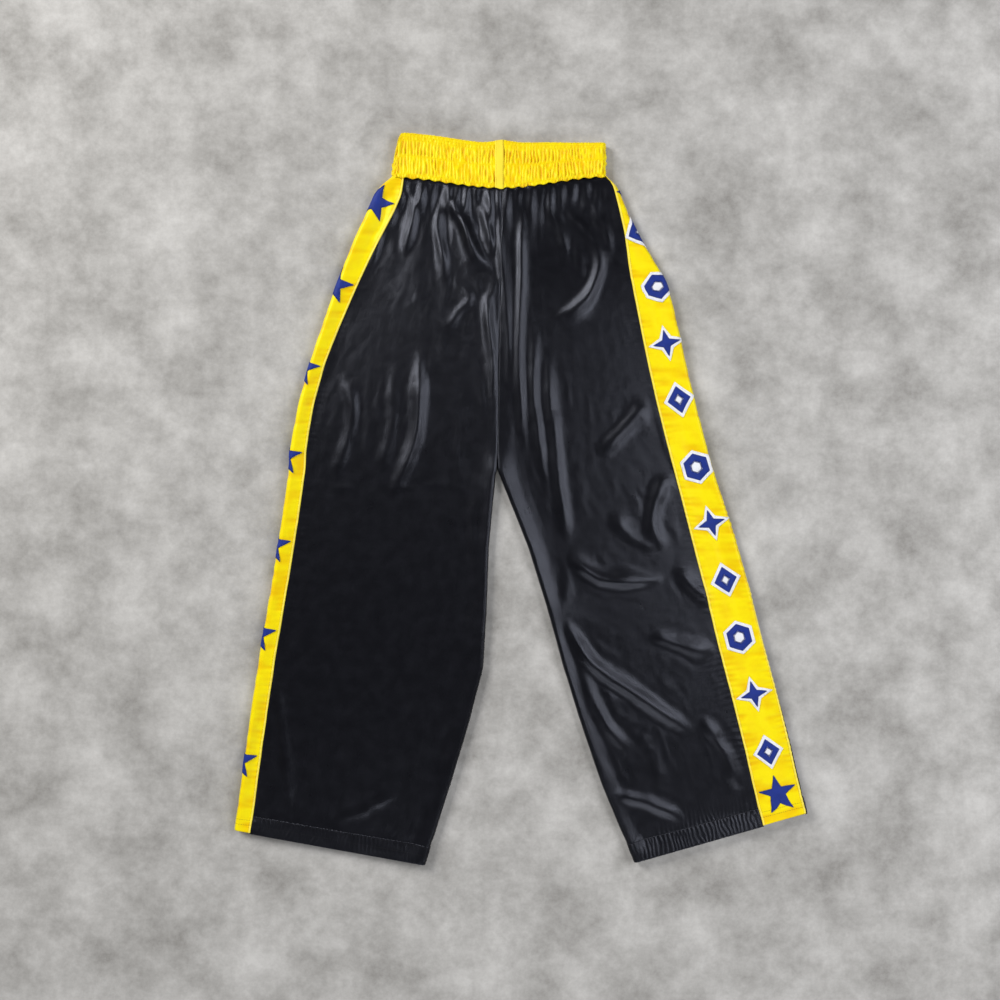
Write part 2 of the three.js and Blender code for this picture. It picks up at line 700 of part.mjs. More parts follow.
// ---- The garment -------------------------------------------------------------------------------
waistband();
add("waistband_join_strip", joinStrip(), YELLOW_SATIN);
for (const [name, leg] of Object.entries(LEGS)) {
  legPanels(name, leg);
  hem(name, leg);
}
leftStars();
rightAppliques();

const box = new THREE.Box3().setFromObject(group, true);
const middle = box.getCenter(new THREE.Vector3());
group.position.set(-middle.x, -middle.y, -box.min.z);

export default group;
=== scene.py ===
"""Satin kickboxing trousers lying on their back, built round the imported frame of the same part."""
import math

import bpy
import numpy as np
from bpy.props import FloatProperty, FloatVectorProperty, IntProperty, PointerProperty
from bpy.types import Operator, Panel, PropertyGroup
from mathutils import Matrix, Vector
from mathutils.geometry import delaunay_2d_cdt as delaunay


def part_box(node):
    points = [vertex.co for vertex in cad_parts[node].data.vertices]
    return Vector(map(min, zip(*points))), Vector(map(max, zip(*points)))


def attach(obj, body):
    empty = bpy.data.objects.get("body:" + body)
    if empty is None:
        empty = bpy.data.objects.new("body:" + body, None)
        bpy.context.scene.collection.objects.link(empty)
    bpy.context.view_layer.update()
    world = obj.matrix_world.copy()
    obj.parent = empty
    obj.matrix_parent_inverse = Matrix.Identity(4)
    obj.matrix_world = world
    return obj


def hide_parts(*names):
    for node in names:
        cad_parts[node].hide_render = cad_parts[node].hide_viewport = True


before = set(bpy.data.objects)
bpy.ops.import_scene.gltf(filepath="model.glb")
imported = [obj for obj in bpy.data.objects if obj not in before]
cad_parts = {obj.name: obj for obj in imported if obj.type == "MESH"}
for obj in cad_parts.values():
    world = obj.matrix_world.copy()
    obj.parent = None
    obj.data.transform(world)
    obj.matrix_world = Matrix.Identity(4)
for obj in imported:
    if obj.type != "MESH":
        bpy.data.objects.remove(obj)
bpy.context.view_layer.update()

bl_info = {
    "name": "Satin kickboxing trousers",
    "version": (1, 0, 0),
    "blender": (4, 5, 0),
    "location": "3D View > Sidebar > Trousers",
    "description": "Makes satin kickboxing trousers, laid flat, round their packed frame",
    "category": "Object",
}

MM = 0.001
ROWS = 201  # of the laid cloth, from hem to waist
COLUMNS = 60  # of the laid cloth, from the inner edge to the outer fold of one leg
UNDER = 2.2 * MM  # the back layer's height above the floor
STRIPE = 58 * MM  # a side stripe's width between its seams
HEM_HEIGHT = 24 * MM
BAND_HEIGHT = 59 * MM
BAND_ROWS = (0.035, 0.47, 0.83, 0.90, 0.965)  # the band's rows of stitches, as shares of its height
PLEAT = 0.0148  # pitch of the gathers at the waist seam, in metres
SHIRR = 0.0056  # pitch of the hems' shirring, in metres
HEM_COLUMNS = 420  # points round a hem
BAND_COLUMNS = 900  # points round the waistband
OUTSIDE = 0.95 * MM  # from the laid cloth to the underside of what is sewn on a stripe
FULLNESS = (1.08, 1.32, 1.42)  # cut width over laid width, at 0.35, 0.8 and the top of the rise
CLOTH_SETTINGS = {
    "quality": 7, "mass": 0.002, "tension_stiffness": 12, "compression_stiffness": 6, "shear_stiffness": 4,
    "bending_stiffness": 0.6, "tension_damping": 5, "compression_damping": 5, "shear_damping": 5,
    "bending_damping": 0.5, "air_damping": 1,
}
LIGHTS = (  # name, place, size, power, tint
    ("key", (-2.3, 1.7, 1.8), (1.3, 1.3), 106, (1, 0.99, 0.97)),
    ("fill", (2.1, 0.3, 1.8), (1.3, 1.3), 44, (0.96, 0.97, 1)),
    ("low", (0.3, -2.3, 1.8), (1.6, 1.0), 26, (0.97, 0.98, 1)),
)
LIT = (-0.03, 0, 0)  # where every light points
ROOM = (0.92, 0.95, 1, 1), 0.07  # colour and strength of the light from all round
CAMERA, LENS = (-0.0286, -0.0014, 1.45), 38.4
FLOOR_REACH = 4.0
LAID = {}  # what the cloth operator leaves for the others: the legs and the band
FINISHES = {}  # the materials made so far
EDGINGS = {"blue": [], "white": []}  # outlines that get a satin stitch


# ---- Settings ---------------------------------------------------------------------------------
def length(name, description, default):
    return FloatProperty(name=name, description=description, default=default, unit="LENGTH", precision=5)


def colour(name, description, default):
    return FloatVectorProperty(
        name=name, description=description, default=default, subtype="COLOR", size=3, min=0, max=1)


class TrousersSizes(PropertyGroup):
    """Sizes that a maker would change."""
    cloth: length("Cloth", "Thickness of the satin", 0.35 * MM)
    applique: length("Appliqué", "Thickness of a star, patch or motif", 0.5 * MM)
    stitch: length("Stitch", "Length of a topstitch", 2.6 * MM)
    thread: length("Thread", "Thickness of the sewing thread", 0.35 * MM)
    crinkle: length("Crinkle", "Depth of the waistband's shirring", 1.6 * MM)
    star: length("Star", "From a star's middle to its points", 26.5 * MM)
    motif: length("Motif", "Height of a motif", 37 * MM)
    margin: length("Margin", "White cloth round a motif", 4.0 * MM)
    frames: IntProperty(name="Frames", description="Length of the laying simulation", default=36)


class TrousersColours(PropertyGroup):
    """Colours of the cloths and thread."""
    black: colour("Black", "Black satin", (0.0034, 0.0034, 0.0048))
    yellow: colour("Yellow", "Yellow satin", (0.97, 0.80, 0.004))
    # shade is painted shade: the yellow darkened towards orange where the cloth's creases and hollows are
    shade: colour("Shade", "Yellow satin in its creases", (0.86, 0.48, 0.001))
    blue: colour("Blue", "Blue appliqué cloth", (0.007, 0.028, 0.25))
    white: colour("White", "White backing cloth", (0.86, 0.87, 0.92))
    webbing: colour("Webbing", "Elastic webbing", (0.76, 0.74, 0.68))
    floor: colour("Floor", "Floor", (0.455, 0.445, 0.43))


def sizes():
    return bpy.context.scene.trousers_sizes


def colours():
    return bpy.context.scene.trousers_colours


# ---- Small functions ------------------------------------------------------------------------------
def smoothstep(x, low, high):
    x = np.clip((np.asarray(x, float) - low) / (high - low), 0, 1)
    return x * x * (3 - 2 * x)


def bump(x):
    """A soft bell of height 1 and half width about 1."""
    return 1 / (1 + np.asarray(x) ** 2) ** 2


def noise(seed, x, y=0.0):
    """Smooth value noise from -1 to 1, with features about one unit wide."""
    table = np.random.default_rng(seed).uniform(-1, 1, (64, 64))
    x, y = np.broadcast_arrays(np.asarray(x, float), np.asarray(y, float))
    i, j = np.floor(x).astype(int), np.floor(y).astype(int)
    fx, fy = x - i, y - j
    fx, fy = fx * fx * (3 - 2 * fx), fy * fy * (3 - 2 * fy)
    at = lambda a, b: table[a % 64, b % 64]
    low = at(i, j) * (1 - fx) + at(i + 1, j) * fx
    high = at(i, j + 1) * (1 - fx) + at(i + 1, j + 1) * fx
    return low * (1 - fy) + high * fy


def between(p, f):
    """The smooth curve from p[1] to p[2], a share f along, which also heeds p[0] and p[3]."""
    return p[1] + 0.5 * f * (
        p[2] - p[0] + f * (2 * p[0] - 5 * p[1] + 4 * p[2] - p[3] + f * (3 * (p[1] - p[2]) + p[3] - p[0])))


def cubic(table, position):
    """A smooth curve through table[0], table[1], ... along its first axis, at each position."""
    last = len(table) - 1
    position = np.clip(position, 0, last)
    i = np.minimum(position.astype(int), last - 1)
    f = position - i
    f = f.reshape(f.shape + (1,) * (table.ndim - 1))
    return between([table[np.clip(i + k, 0, last)] for k in (-1, 0, 1, 2)], f)


def unit(vectors):
    return vectors / np.maximum(np.linalg.norm(vectors, axis=-1, keepdims=True), 1e-12)


# ---- Reading the frame ----------------------------------------------------------------------------
def triangles(*nodes):
    """The corners of every triangle of some nodes."""
    found = []
    for node in nodes:
        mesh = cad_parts[node].data
        mesh.calc_loop_triangles()
        points = np.empty(len(mesh.vertices) * 3)
        mesh.vertices.foreach_get("co", points)
        corners = np.empty(len(mesh.loop_triangles) * 3, dtype=np.int32)
        mesh.loop_triangles.foreach_get("vertices", corners)
        found.append(points.reshape(-1, 3)[corners.reshape(-1, 3)])
    return np.concatenate(found)


def span(solid, axis, value):
    """How far a solid reaches in the other plan axis, where it is cut at a value of this one."""
    after = np.roll(solid, -1, axis=1)
    near, far = solid[..., axis] - value, after[..., axis] - value
    hit = (near * far <= 0) & (near != far)
    share = near[hit] / (near[hit] - far[hit])
    other = solid[hit][:, 1 - axis] * (1 - share) + after[hit][:, 1 - axis] * share
    return (other.min(), other.max()) if other.size else (np.nan, np.nan)


def border(solid, axis, values, which):
    """One end of the span, 0 the lower and 1 the upper, at each value."""
    return np.array([span(solid, axis, value)[which] for value in values])


class Leg:
    """One leg of the laid garment: its rows, and its cloth as a surface.

    v runs from 0 at the hem to 1 at the waist seam, and a is the distance along a row from the
    outer fold, positive on the front layer and negative on the back layer.
    """

    def __init__(self, name, side, crotch, waist):
        """crotch is a plan point; waist is the centre seam's top and the outer end's y."""
        self.name, self.side, self.field = name, side, None
        front = triangles(f"{name}_front_panel")
        whole = triangles(*(f"{name}_{part}" for part in
                            ("front_panel", "back_panel", "side_stripe", "hem_casing")))
        out, inward = (1, 0) if side > 0 else (0, 1)
        self.trace(whole, crotch, waist, out, inward)
        self.fold()
        self.find_seams(front, out)
        steps = np.linalg.norm(np.diff(self.outer, axis=0), axis=1)
        self.lengths = np.concatenate([[0], np.cumsum(steps)])

    def trace(self, whole, crotch, waist, out, inward):
        """Finds both edges of the leg in plan, on rows that run level with its hem, crotch and waist."""
        flat = whole.reshape(-1, 3)
        low = flat[flat[:, 1].argmin()]
        far = flat[(self.side * flat[:, 0]).argmax()]
        self.split = (crotch[1] - low[1]) / (waist[1] - low[1])
        v = self.v = np.linspace(0, 1, 401)
        leg = np.clip(v / self.split, 0, 1)
        self.rise = np.clip((v - self.split) / (1 - self.split), 0, 1)
        inner_y = low[1] + (crotch[1] - low[1]) * leg + (waist[1] - crotch[1]) * self.rise
        outer_y = far[1] + (crotch[1] - far[1]) * leg + (waist[2] - crotch[1]) * self.rise
        inner_x = border(whole, 1, np.clip(inner_y, low[1] + MM, None), inward)
        centre = crotch[0] + (waist[0] - crotch[0]) * self.rise
        inner_x = np.where(self.rise > 0, centre, inner_x)
        outer_x = border(whole, 1, np.clip(outer_y, far[1] + 2 * MM, waist[2] - MM), out)
        self.inner = self.smooth(np.stack([inner_x, inner_y], axis=1), 3)
        self.outer = self.smooth(np.stack([outer_x, outer_y], axis=1), 9)

    def fold(self):
        """Sizes the rounds at both folds. Past the crotch the inner one opens into the centre seam."""
        self.across = unit(self.outer - self.inner)
        self.width = np.linalg.norm(self.outer - self.inner, axis=1)
        self.radius = np.interp(self.v, [0, 0.05, 0.5, 0.9, 1], np.array([5, 4.2, 4.6, 5.0, 5.6]) * MM)
        self.turn = math.pi / 2 * (1 - smoothstep(self.rise, 0, 0.1))
        self.quarter = math.pi / 2 * self.radius
        self.flat = self.width - self.radius * (1 + np.sin(self.turn))
        self.end = self.quarter + self.flat + self.radius * self.turn

    def find_seams(self, front, out):
        """Places the front side seam, and the stripe's width along a row, wider where rows lean."""
        seam = self.shown(front, out)
        above_hem = np.searchsorted(self.v, 0.07)
        seam[:above_hem] = seam[above_hem]
        near = np.clip(seam / self.radius, 0, 1)
        self.seam = np.where(seam >= self.radius, seam - self.radius + self.quarter,
                             self.radius * np.arccos(1 - near))
        along = unit(np.gradient(self.outer, axis=0))
        self.lean = (self.across * along).sum(axis=1)
        hold = np.searchsorted(self.rise, 0.87)
        self.lean[hold:] = self.lean[hold]
        gathered = 1 - 0.15 * smoothstep(self.rise, 0.87, 1)
        self.stripe = STRIPE * gathered / np.sqrt(1 - self.lean ** 2)

    @staticmethod
    def smooth(points, times):
        for _ in range(times):
            points[1:-1] = (points[:-2] + 2 * points[1:-1] + points[2:]) / 4
        return points

    def shown(self, front, out):
        """The stripe's width that shows from above, along each row."""
        ys = np.linspace(front[..., 1].min() + MM, front[..., 1].max() - MM, 300)
        xs = border(front, 1, ys, out)
        s = np.linspace(0, 1, 500)
        found = []
        for k in range(len(self.v)):
            x, y = self.plan(self.v[k], s)
            past = self.side * (x - np.interp(y, ys, xs)) > 0
            found.append((1 - s[past.argmax()] if past.any() else 0) * self.width[k])
        return self.smooth(np.array(found)[:, None], 12)[:, 0]

    def at(self, name, v):
        """The value at each v of something known for every row."""
        table = getattr(self, name)
        if table.ndim == 1:
            return np.interp(v, self.v, table)
        return np.stack([np.interp(v, self.v, table[:, k]) for k in range(table.shape[1])], axis=-1)

    def plan(self, v, share):
        """The floor-plan place of a share of a row, 0 at its inner end and 1 at its outer end."""
        inner, outer = self.at("inner", v), self.at("outer", v)
        curve = self.at("rise", v)
        eased = share + curve * ((1 - np.cos(math.pi * share)) / 2 - share)
        x = inner[..., 0] + (outer[..., 0] - inner[..., 0]) * share
        return x, inner[..., 1] + (outer[..., 1] - inner[..., 1]) * eased

    def top(self, v, share):
        """The front layer between its two folds."""
        if self.field is None:
            return self.level(v, share, UNDER + 2 * self.at("radius", v))
        rows = cubic(self.field, v * (ROWS - 1))
        where = np.clip(share, 0, 1) * COLUMNS
        i = np.minimum(where.astype(int), COLUMNS - 1)
        f = (where - i)[..., None]
        flat = rows.reshape(-1, COLUMNS + 1, 3)
        index = np.arange(len(flat)).reshape(i.shape)
        return between([flat[index, np.clip(i + k, 0, COLUMNS)] for k in (-1, 0, 1, 2)], f)

    def level(self, v, share, height):
        """A flat layer between the two folds."""
        radius = self.at("radius", v)
        start = radius * np.sin(self.at("turn", v))
        x, y = self.plan(v, (start + share * self.at("flat", v)) / self.at("width", v))
        return np.stack(np.broadcast_arrays(x, y, height), axis=-1)

    def under(self, v, share):
        """The back layer, which lies in slow waves."""
        x, y, z = np.moveaxis(self.level(v, share, UNDER), -1, 0)
        edge_on = smoothstep(share, 0, 0.08) * smoothstep(1 - share, 0, 0.08)
        wave = 0.6 * MM * edge_on * noise(5, x / 0.06 + 9, y / 0.09 + 9)
        return np.stack([x, y, z + wave], axis=-1)

    def place(self, v, a):
        """The smooth surface of the cloth."""
        v, a = np.broadcast_arrays(np.asarray(v, float), np.asarray(a, float))
        radius, quarter = self.at("radius", v), self.at("quarter", v)
        flat, turn = self.at("flat", v), self.at("turn", v)
        past = np.abs(a) - quarter
        share = 1 - np.clip(past / flat, 0, 1)
        high, low = self.top(v, share), self.under(v, share)
        out = self.at("across", v)
        out = np.concatenate([out, np.zeros(out.shape[:-1] + (1,))], axis=-1)
        middle, half = (high + low) / 2, (high - low) / 2
        angle = np.clip(a / radius, -math.pi / 2, math.pi / 2)
        inward = np.clip((past - flat) / radius, 0, turn)
        side = np.where(a < 0, -1, 1)
        up = np.where(past < 0, np.sin(angle), side * np.cos(inward))
        reach = np.where(past < 0, np.cos(angle), -np.sin(inward))
        return middle + half * up[..., None] + out * (reach * radius)[..., None]


# ---- Laying the cloth --------------------------------------------------------------------------------
# Folds of the front layer, each a line in plan with the fold's half width and height, in mm. A fold
# is steeper on the right of its line.
FOLDS = (
    # down from the waist on the left, gathering towards the centre seam
    (((-98, 428), (-94, 399), (-76, 366), (-68, 338), (-56, 316), (-42, 288)), 9, 8),
    (((-44, 292), (-46, 255), (-41, 215), (-36, 150), (-37, 60)), 9, 7),
    (((-79, 384), (-66, 350), (-52, 324), (-37, 300)), 7, 5),
    (((-111, 412), (-115, 370), (-107, 334), (-101, 306)), 10, 6),
    (((-128, 428), (-142, 392), (-152, 358), (-160, 326)), 10, 5),
    (((-150, 430), (-170, 392), (-192, 350), (-206, 300)), 9, 4),
    (((-59, 408), (-47, 366), (-36, 332)), 7, 5),
    (((-102, 228), (-84, 252), (-68, 274), (-100, 290)), 9, 3),
    # beside and across the centre seam
    (((-26, 400), (-28, 340), (-20, 256), (-16, 180), (-20, 90)), 7, 6),
    (((4, 422), (0, 360), (0, 300), (-4, 200), (0, 120), (8, 50)), 7, 8),
    (((20, 240), (16, 170), (20, 110), (30, 48), (40, -10)), 9, 6),
    (((44, 230), (36, 165), (44, 95), (50, 29), (58, -29), (66, -74)), 10, 7),
    # down from the waist on the right, curling back to the centre
    (((35, 422), (40, 388), (57, 355), (66, 320)), 8, 6),
    (((57, 426), (63, 390), (88, 360), (105, 326), (101, 296), (84, 268), (50, 246), (22, 232)), 13, 8),
    (((84, 428), (98, 392), (116, 360), (124, 320)), 9, 5),
    # over the left hip and thigh
    (((-252, 176), (-228, 122), (-240, 62), (-258, 6)), 16, 5),
    (((-138, 206), (-138, 150), (-142, 88), (-162, 32), (-186, -10)), 11, 8),
    (((-176, 190), (-172, 130), (-182, 70), (-204, 14)), 15, 4),
    (((-60, 34), (-66, -40), (-60, -120), (-74, -204)), 10, 5),
    (((-78, 150), (-84, 60), (-78, -30)), 18, 3),
    # the storage creases
    (((-180, 302), (-142, 267), (-112, 238), (-90, 211)), 2.4, -2.2),
    (((-290, 22), (-200, 12), (-110, 18), (-60, 8)), 3, 1.2),
    # the left shin
    (((-322, -40), (-318, -110), (-330, -190)), 10, 4),
    (((-334, -236), (-320, -330), (-310, -430)), 8, 5),
    (((-160, -396), (-212, -420), (-262, -444)), 13, 3),
    (((-74, -236), (-92, -330), (-128, -440)), 10, 4),
    # across the right thigh and knee
    (((58, -68), (82, -94), (112, -108), (160, -110), (216, -102)), 16, 8),
    (((176, 134), (140, 98), (104, 54)), 17, 6),
    (((206, 40), (182, 2), (178, -40), (204, -78)), 13, 6),
    (((118, -18), (150, -52), (192, -72)), 14, 4),
    (((208, -90), (232, -120), (262, -136)), 12, 4),
    # the long diagonals down the right shin
    (((46, -122), (68, -180), (98, -224), (150, -262), (208, -300), (258, -338)), 15, 9),
    (((72, -190), (92, -258), (118, -310), (152, -356)), 13, 7),
    (((168, -178), (220, -200), (266, -206)), 17, 5),
    (((118, -396), (170, -410), (228, -436)), 15, 5),
    (((240, -290), (276, -346), (300, -410)), 13, 5),
    (((150, -300), (180, -352), (190, -400)), 16, 4),
)


def along_line(points, x, y):
    """The distance to a line in plan, how far along it that is, and on which side."""
    points = np.asarray(points, float) * MM
    count = 10 * (len(points) - 1) + 1
    dense = cubic(points, np.linspace(0, len(points) - 1, count))
    best = np.full(x.shape, np.inf)
    where, side = np.zeros(x.shape), np.zeros(x.shape)
    for k in range(count - 1):
        start, run = dense[k], dense[k + 1] - dense[k]
        off_x, off_y = x - start[0], y - start[1]
        t = np.clip((off_x * run[0] + off_y * run[1]) / (run @ run), 0, 1)
        apart = np.hypot(off_x - t * run[0], off_y - t * run[1])
        nearer = apart < best
        best = np.where(nearer, apart, best)
        where = np.where(nearer, (k + t) / (count - 1), where)
        side = np.where(nearer, run[1] * off_x - run[0] * off_y, side)
    return best, where, side


def folds(x, y):
    """The height that all the folds together give each plan point."""
    height = np.zeros(x.shape)
    for number, (line, half_width, crest) in enumerate(FOLDS):
        apart, where, side = along_line(line, x, y)
        steep = 1 + 0.45 * np.tanh(side / (apart * 0.02 + 1e-6))
        apart = apart * steep * (1 + 0.25 * noise(20 + number, x / 0.05 + 5, y / 0.05 + 5))
        ends = smoothstep(where, 0, 0.3) * smoothstep(1 - where, 0, 0.35)
        height += crest * MM * ends * bump(apart / (half_width * MM))
    return height


def gathers(x, y, down):
    """The waist's gathers: small pleats at the seam that join into larger folds further down."""
    sway = 0.006 * noise(3, x / 0.05 + 3, down / 0.06 + 3)
    pleats = np.cos(2 * math.pi * (x + sway + 0.004 * noise(4, x / 0.02, 0)) / PLEAT)
    pleats = pleats * (0.12 + 0.88 * smoothstep(down, 0, 0.016))
    larger = noise(7, (x + sway) / 0.019 + 7, down / 0.3 + 7)
    fade = np.exp(-(down / 0.035))
    reach = 0.13 * (1 + 0.5 * noise(8, x / 0.04 + 2))
    wide = 5.4 * MM * larger * np.exp(-(down / reach) ** 1.5) * smoothstep(down, 0, 0.03)
    return 1.9 * MM * pleats * fade + wide


def start_shape(leg, v, share):
    """Where the front layer is held before it settles."""
    flat = leg.level(v, share, UNDER + 2 * leg.at("radius", v))
    x, y, z = np.moveaxis(flat, -1, 0)
    waist_y = leg.level(np.ones_like(v), share, 0)[..., 1]
    down = np.maximum(waist_y - y, 0)
    inner = smoothstep(share * leg.at("flat", v), 0, 0.02)
    inner = inner + (1 - inner) * (1 - leg.at("turn", v) / (math.pi / 2))
    edges = smoothstep((1 - share) * leg.at("flat", v), 0, 0.02) * inner
    hem = smoothstep(v, 0, 0.03)
    sunk = -4.5 * MM * edges * hem * smoothstep(1 - v, 0, 0.06)
    lean = x + 0.35 * leg.side * y
    rumple = 1.5 * MM * noise(11, lean / 0.04 + 20, y / 0.11 + 20)
    rumple = rumple + 0.35 * MM * noise(12, lean / 0.02, y / 0.05)
    return np.stack([x, y, z + sunk + edges * hem * (folds(x, y) + rumple) + edges * gathers(x, y, down)],
                    axis=-1)


def fullness_of(rise, at_crotch):
    """How much wider the cloth is cut than it lies."""
    return np.interp(rise, [0, 0.35, 0.8, 1], [at_crotch, *FULLNESS])


def cut_shape(leg, v, share, plan):
    """The flat cut piece: as wide at the waist as gathering needs, and a little long."""
    slack = np.where(v < leg.split, 1.015, fullness_of(leg.at("rise", v), 1.02))
    across = share * leg.at("flat", v) * slack
    step = np.linalg.norm(np.diff(plan[..., :2], axis=0), axis=-1) * 1.008
    along = np.concatenate([np.zeros((1, plan.shape[1])), np.cumsum(step, axis=0)])
    at_crotch = along[np.searchsorted(v[:, 0], leg.split)]
    return np.stack([leg.side * across, along - at_crotch, np.zeros_like(across)], axis=-1)


def lay_cloth(legs):
    """Lets the front layer of both legs settle on the back one, joined along the centre seam."""
    v, share = np.meshgrid(np.linspace(0, 1, ROWS), np.linspace(0, 1, COLUMNS + 1), indexing="ij")
    starts, cuts, index, held = [], [], [], []
    count = 0
    for leg in legs:
        start = start_shape(leg, v, share)
        cuts.append(cut_shape(leg, v, share, leg.level(v, share, 0)))
        starts.append(start)
        index.append(np.arange(v.size).reshape(v.shape) + count)
        count += v.size
        pin = np.zeros(v.shape, bool)
        pin[[0, -1]] = True
        pin[:, -1] = True
        pin[:, 0] = leg.at("turn", v[:, 0]) > 0
        held.append(pin)
    joined = ~held[0][:, 0] & ~held[1][:, 0]
    joined[-1] = True
    starts[1][joined, 0] = starts[0][joined, 0]
    cuts[1][joined, 0] = cuts[0][joined, 0]
    index[1][joined, 0] = index[0][joined, 0]
    faces = []
    for leg, table in zip(legs, index):
        quads = quads_of(table)
        faces.append(quads if leg.side > 0 else quads[:, ::-1])
    start = np.concatenate([s.reshape(-1, 3) for s in starts])
    cut = np.concatenate([c.reshape(-1, 3) for c in cuts])
    pinned = np.concatenate([h.reshape(-1) for h in held])
    settled = start
    settled = settle(start, cut, np.concatenate(faces), np.flatnonzero(pinned), sizes().frames)
    for leg, table in zip(legs, index):
        leg.field = ironed(settled[table], 2)


def ironed(field, times):
    """Takes out wrinkles as small as the simulation's own grid, leaving the edges alone."""
    for _ in range(times):
        inside = (field[:-2, 1:-1] + field[2:, 1:-1] + field[1:-1, :-2] + field[1:-1, 2:]) / 8
        field[1:-1, 1:-1] = inside + field[1:-1, 1:-1] / 2
    return field


def settle(start, cut, faces, pinned, frames):
    """Blender's cloth, from a start shape, with its springs at rest in the cut shape."""
    scene = bpy.context.scene
    mesh = bpy.data.meshes.new("settling")
    mesh.from_pydata(start.tolist(), [], faces.tolist())
    cloth = bpy.data.objects.new("settling", mesh)
    scene.collection.objects.link(cloth)
    cloth.shape_key_add(name="Basis")
    key = cloth.shape_key_add(name="cut")
    key.data.foreach_set("co", cut.ravel())
    cloth.vertex_groups.new(name="held").add(pinned.tolist(), 1.0, "REPLACE")
    ground = bpy.data.meshes.new("ground")
    ground.from_pydata([(-1, -1, 2 * UNDER), (1, -1, 2 * UNDER), (1, 1, 2 * UNDER), (-1, 1, 2 * UNDER)],
                       [], [(0, 1, 2, 3)])
    below = bpy.data.objects.new("ground", ground)
    scene.collection.objects.link(below)
    below.modifiers.new("hit", "COLLISION")
    below.collision.thickness_outer = 0.001
    below.collision.cloth_friction = 12
    modifier = cloth.modifiers.new("cloth", "CLOTH")
    settings = modifier.settings
    for name, value in CLOTH_SETTINGS.items():
        setattr(settings, name, value)
    settings.vertex_group_mass = "held"
    settings.rest_shape_key = key
    modifier.collision_settings.distance_min = 0.001
    modifier.collision_settings.collision_quality = 2
    modifier.point_cache.frame_start = 1
    modifier.point_cache.frame_end = frames
    for number in range(1, frames + 1):
        scene.frame_set(number)
    done = cloth.evaluated_get(bpy.context.evaluated_depsgraph_get())
    result = np.empty(len(start) * 3)
    done.data.vertices.foreach_get("co", result)
    scene.frame_set(1)
    for thing in (cloth, below):
        bpy.data.objects.remove(thing)
    return result.reshape(-1, 3)


# ---- Surfaces ------------------------------------------------------------------------------------
def puckers(leg, v, a):
    """How far the seams' puckers lift the cloth."""
    along = leg.at("lengths", v)
    seam = leg.at("seam", v)
    stripe = leg.at("stripe", v)
    back = seam - stripe
    busy = 1 + leg.side * 0.45 * bump((v - 0.5) / 0.16)
    wander = 2.4 * MM * noise(30, along / 0.019, a / 0.03 + 4)
    short = np.cos(2 * math.pi * (along + wander) / 0.0078) * (0.55 + 0.45 * noise(31, along / 0.03, 3))
    wide = noise(32, along / 0.009, a / 0.02 + 8)
    beside = np.exp(-np.abs(a - seam) / 0.009) + np.exp(-np.abs(a - back) / 0.009)
    inside = ((a < seam) & (a > back)).astype(float)
    above = np.maximum(along - HEM_HEIGHT, 0)
    hem = np.exp(-above / 0.012) * smoothstep(along, 0.5 * HEM_HEIGHT, HEM_HEIGHT) * (1 - inside)
    shirred = np.sin(2 * math.pi * (a / SHIRR + 0.6 * noise(50, a / 0.014, along / 0.02)))
    inseam = np.exp(-np.maximum(leg.at("end", v) - np.abs(a), 0) / 0.007) * (leg.at("turn", v) > 0.2)
    return MM * (0.42 * busy * beside * short + 0.42 * inside * wide + 0.2 * inseam * wide
                 + 0.4 * hem * shirred)


def on_leg(leg, v, a, lift=0.0):
    """A point of the cloth with its puckers, lifted off it, and the way out of the garment."""
    v, a = np.broadcast_arrays(np.asarray(v, float), np.asarray(a, float))
    step = 0.9 * MM
    rise = step / leg.lengths[-1]
    across = leg.place(v, a + step) - leg.place(v, a - step)
    along = leg.place(np.minimum(v + rise, 1), a) - leg.place(np.maximum(v - rise, 0), a)
    normal = -leg.side * unit(np.cross(across, along))
    offset = puckers(leg, v, a) + lift
    return floored(leg.place(v, a) + normal * offset[..., None]), normal


def floored(points):
    """Cloth that would sink into the floor lies flat on it instead."""
    points = points.copy()
    points[..., 2] = 0.9 * MM + 0.35 * MM * np.logaddexp(0, (points[..., 2] - 0.9 * MM) / (0.35 * MM))
    return points


def on_stripe(leg, station, across):
    """The row and distance from the fold of a point of the side stripe, given squarely on its cloth."""
    v = np.interp(station, leg.lengths, leg.v)
    lean = leg.at("lean", v)
    straight = np.sqrt(1 - lean ** 2)
    v = np.interp(station + np.abs(across) * lean / straight, leg.lengths, leg.v)
    return v, across / straight


def hem_shirring(path, height):
    """The depth of a hem's small pleats, pinched where the elastic's stitches are."""
    sway = 0.6 * noise(50, path / 0.014, height * 1.6) + 0.2 * noise(51, path / 0.005, height * 4)
    pinch = 1 - 0.7 * np.exp(-((height - 0.95) / 0.08) ** 2)
    size = 0.65 + 0.5 * noise(52, path / 0.02, height * 2)
    ends = smoothstep(path, 0, 0.01)
    return 0.22 * MM * pinch * size * ends * np.sin(2 * math.pi * (path / SHIRR + sway))


def hem_ring(leg, height, lift):
    """Rows of points round a hem, from the front seam by the inner fold to the back seam."""
    v = (height * HEM_HEIGHT / leg.lengths[-1])[:, None]
    seam, end = leg.at("seam", v), leg.at("end", v)
    back = seam - leg.at("stripe", v)
    front_length, back_length = end - seam, end + back
    path = np.linspace(0, 1, HEM_COLUMNS) * (front_length + back_length)
    a = np.where(path <= front_length, seam + path, -end + (path - front_length))
    wave = hem_shirring(path, height[:, None])
    points, normals = on_leg(leg, np.broadcast_to(v, a.shape), a, wave + lift[:, None])
    return points, normals[0, 0], path


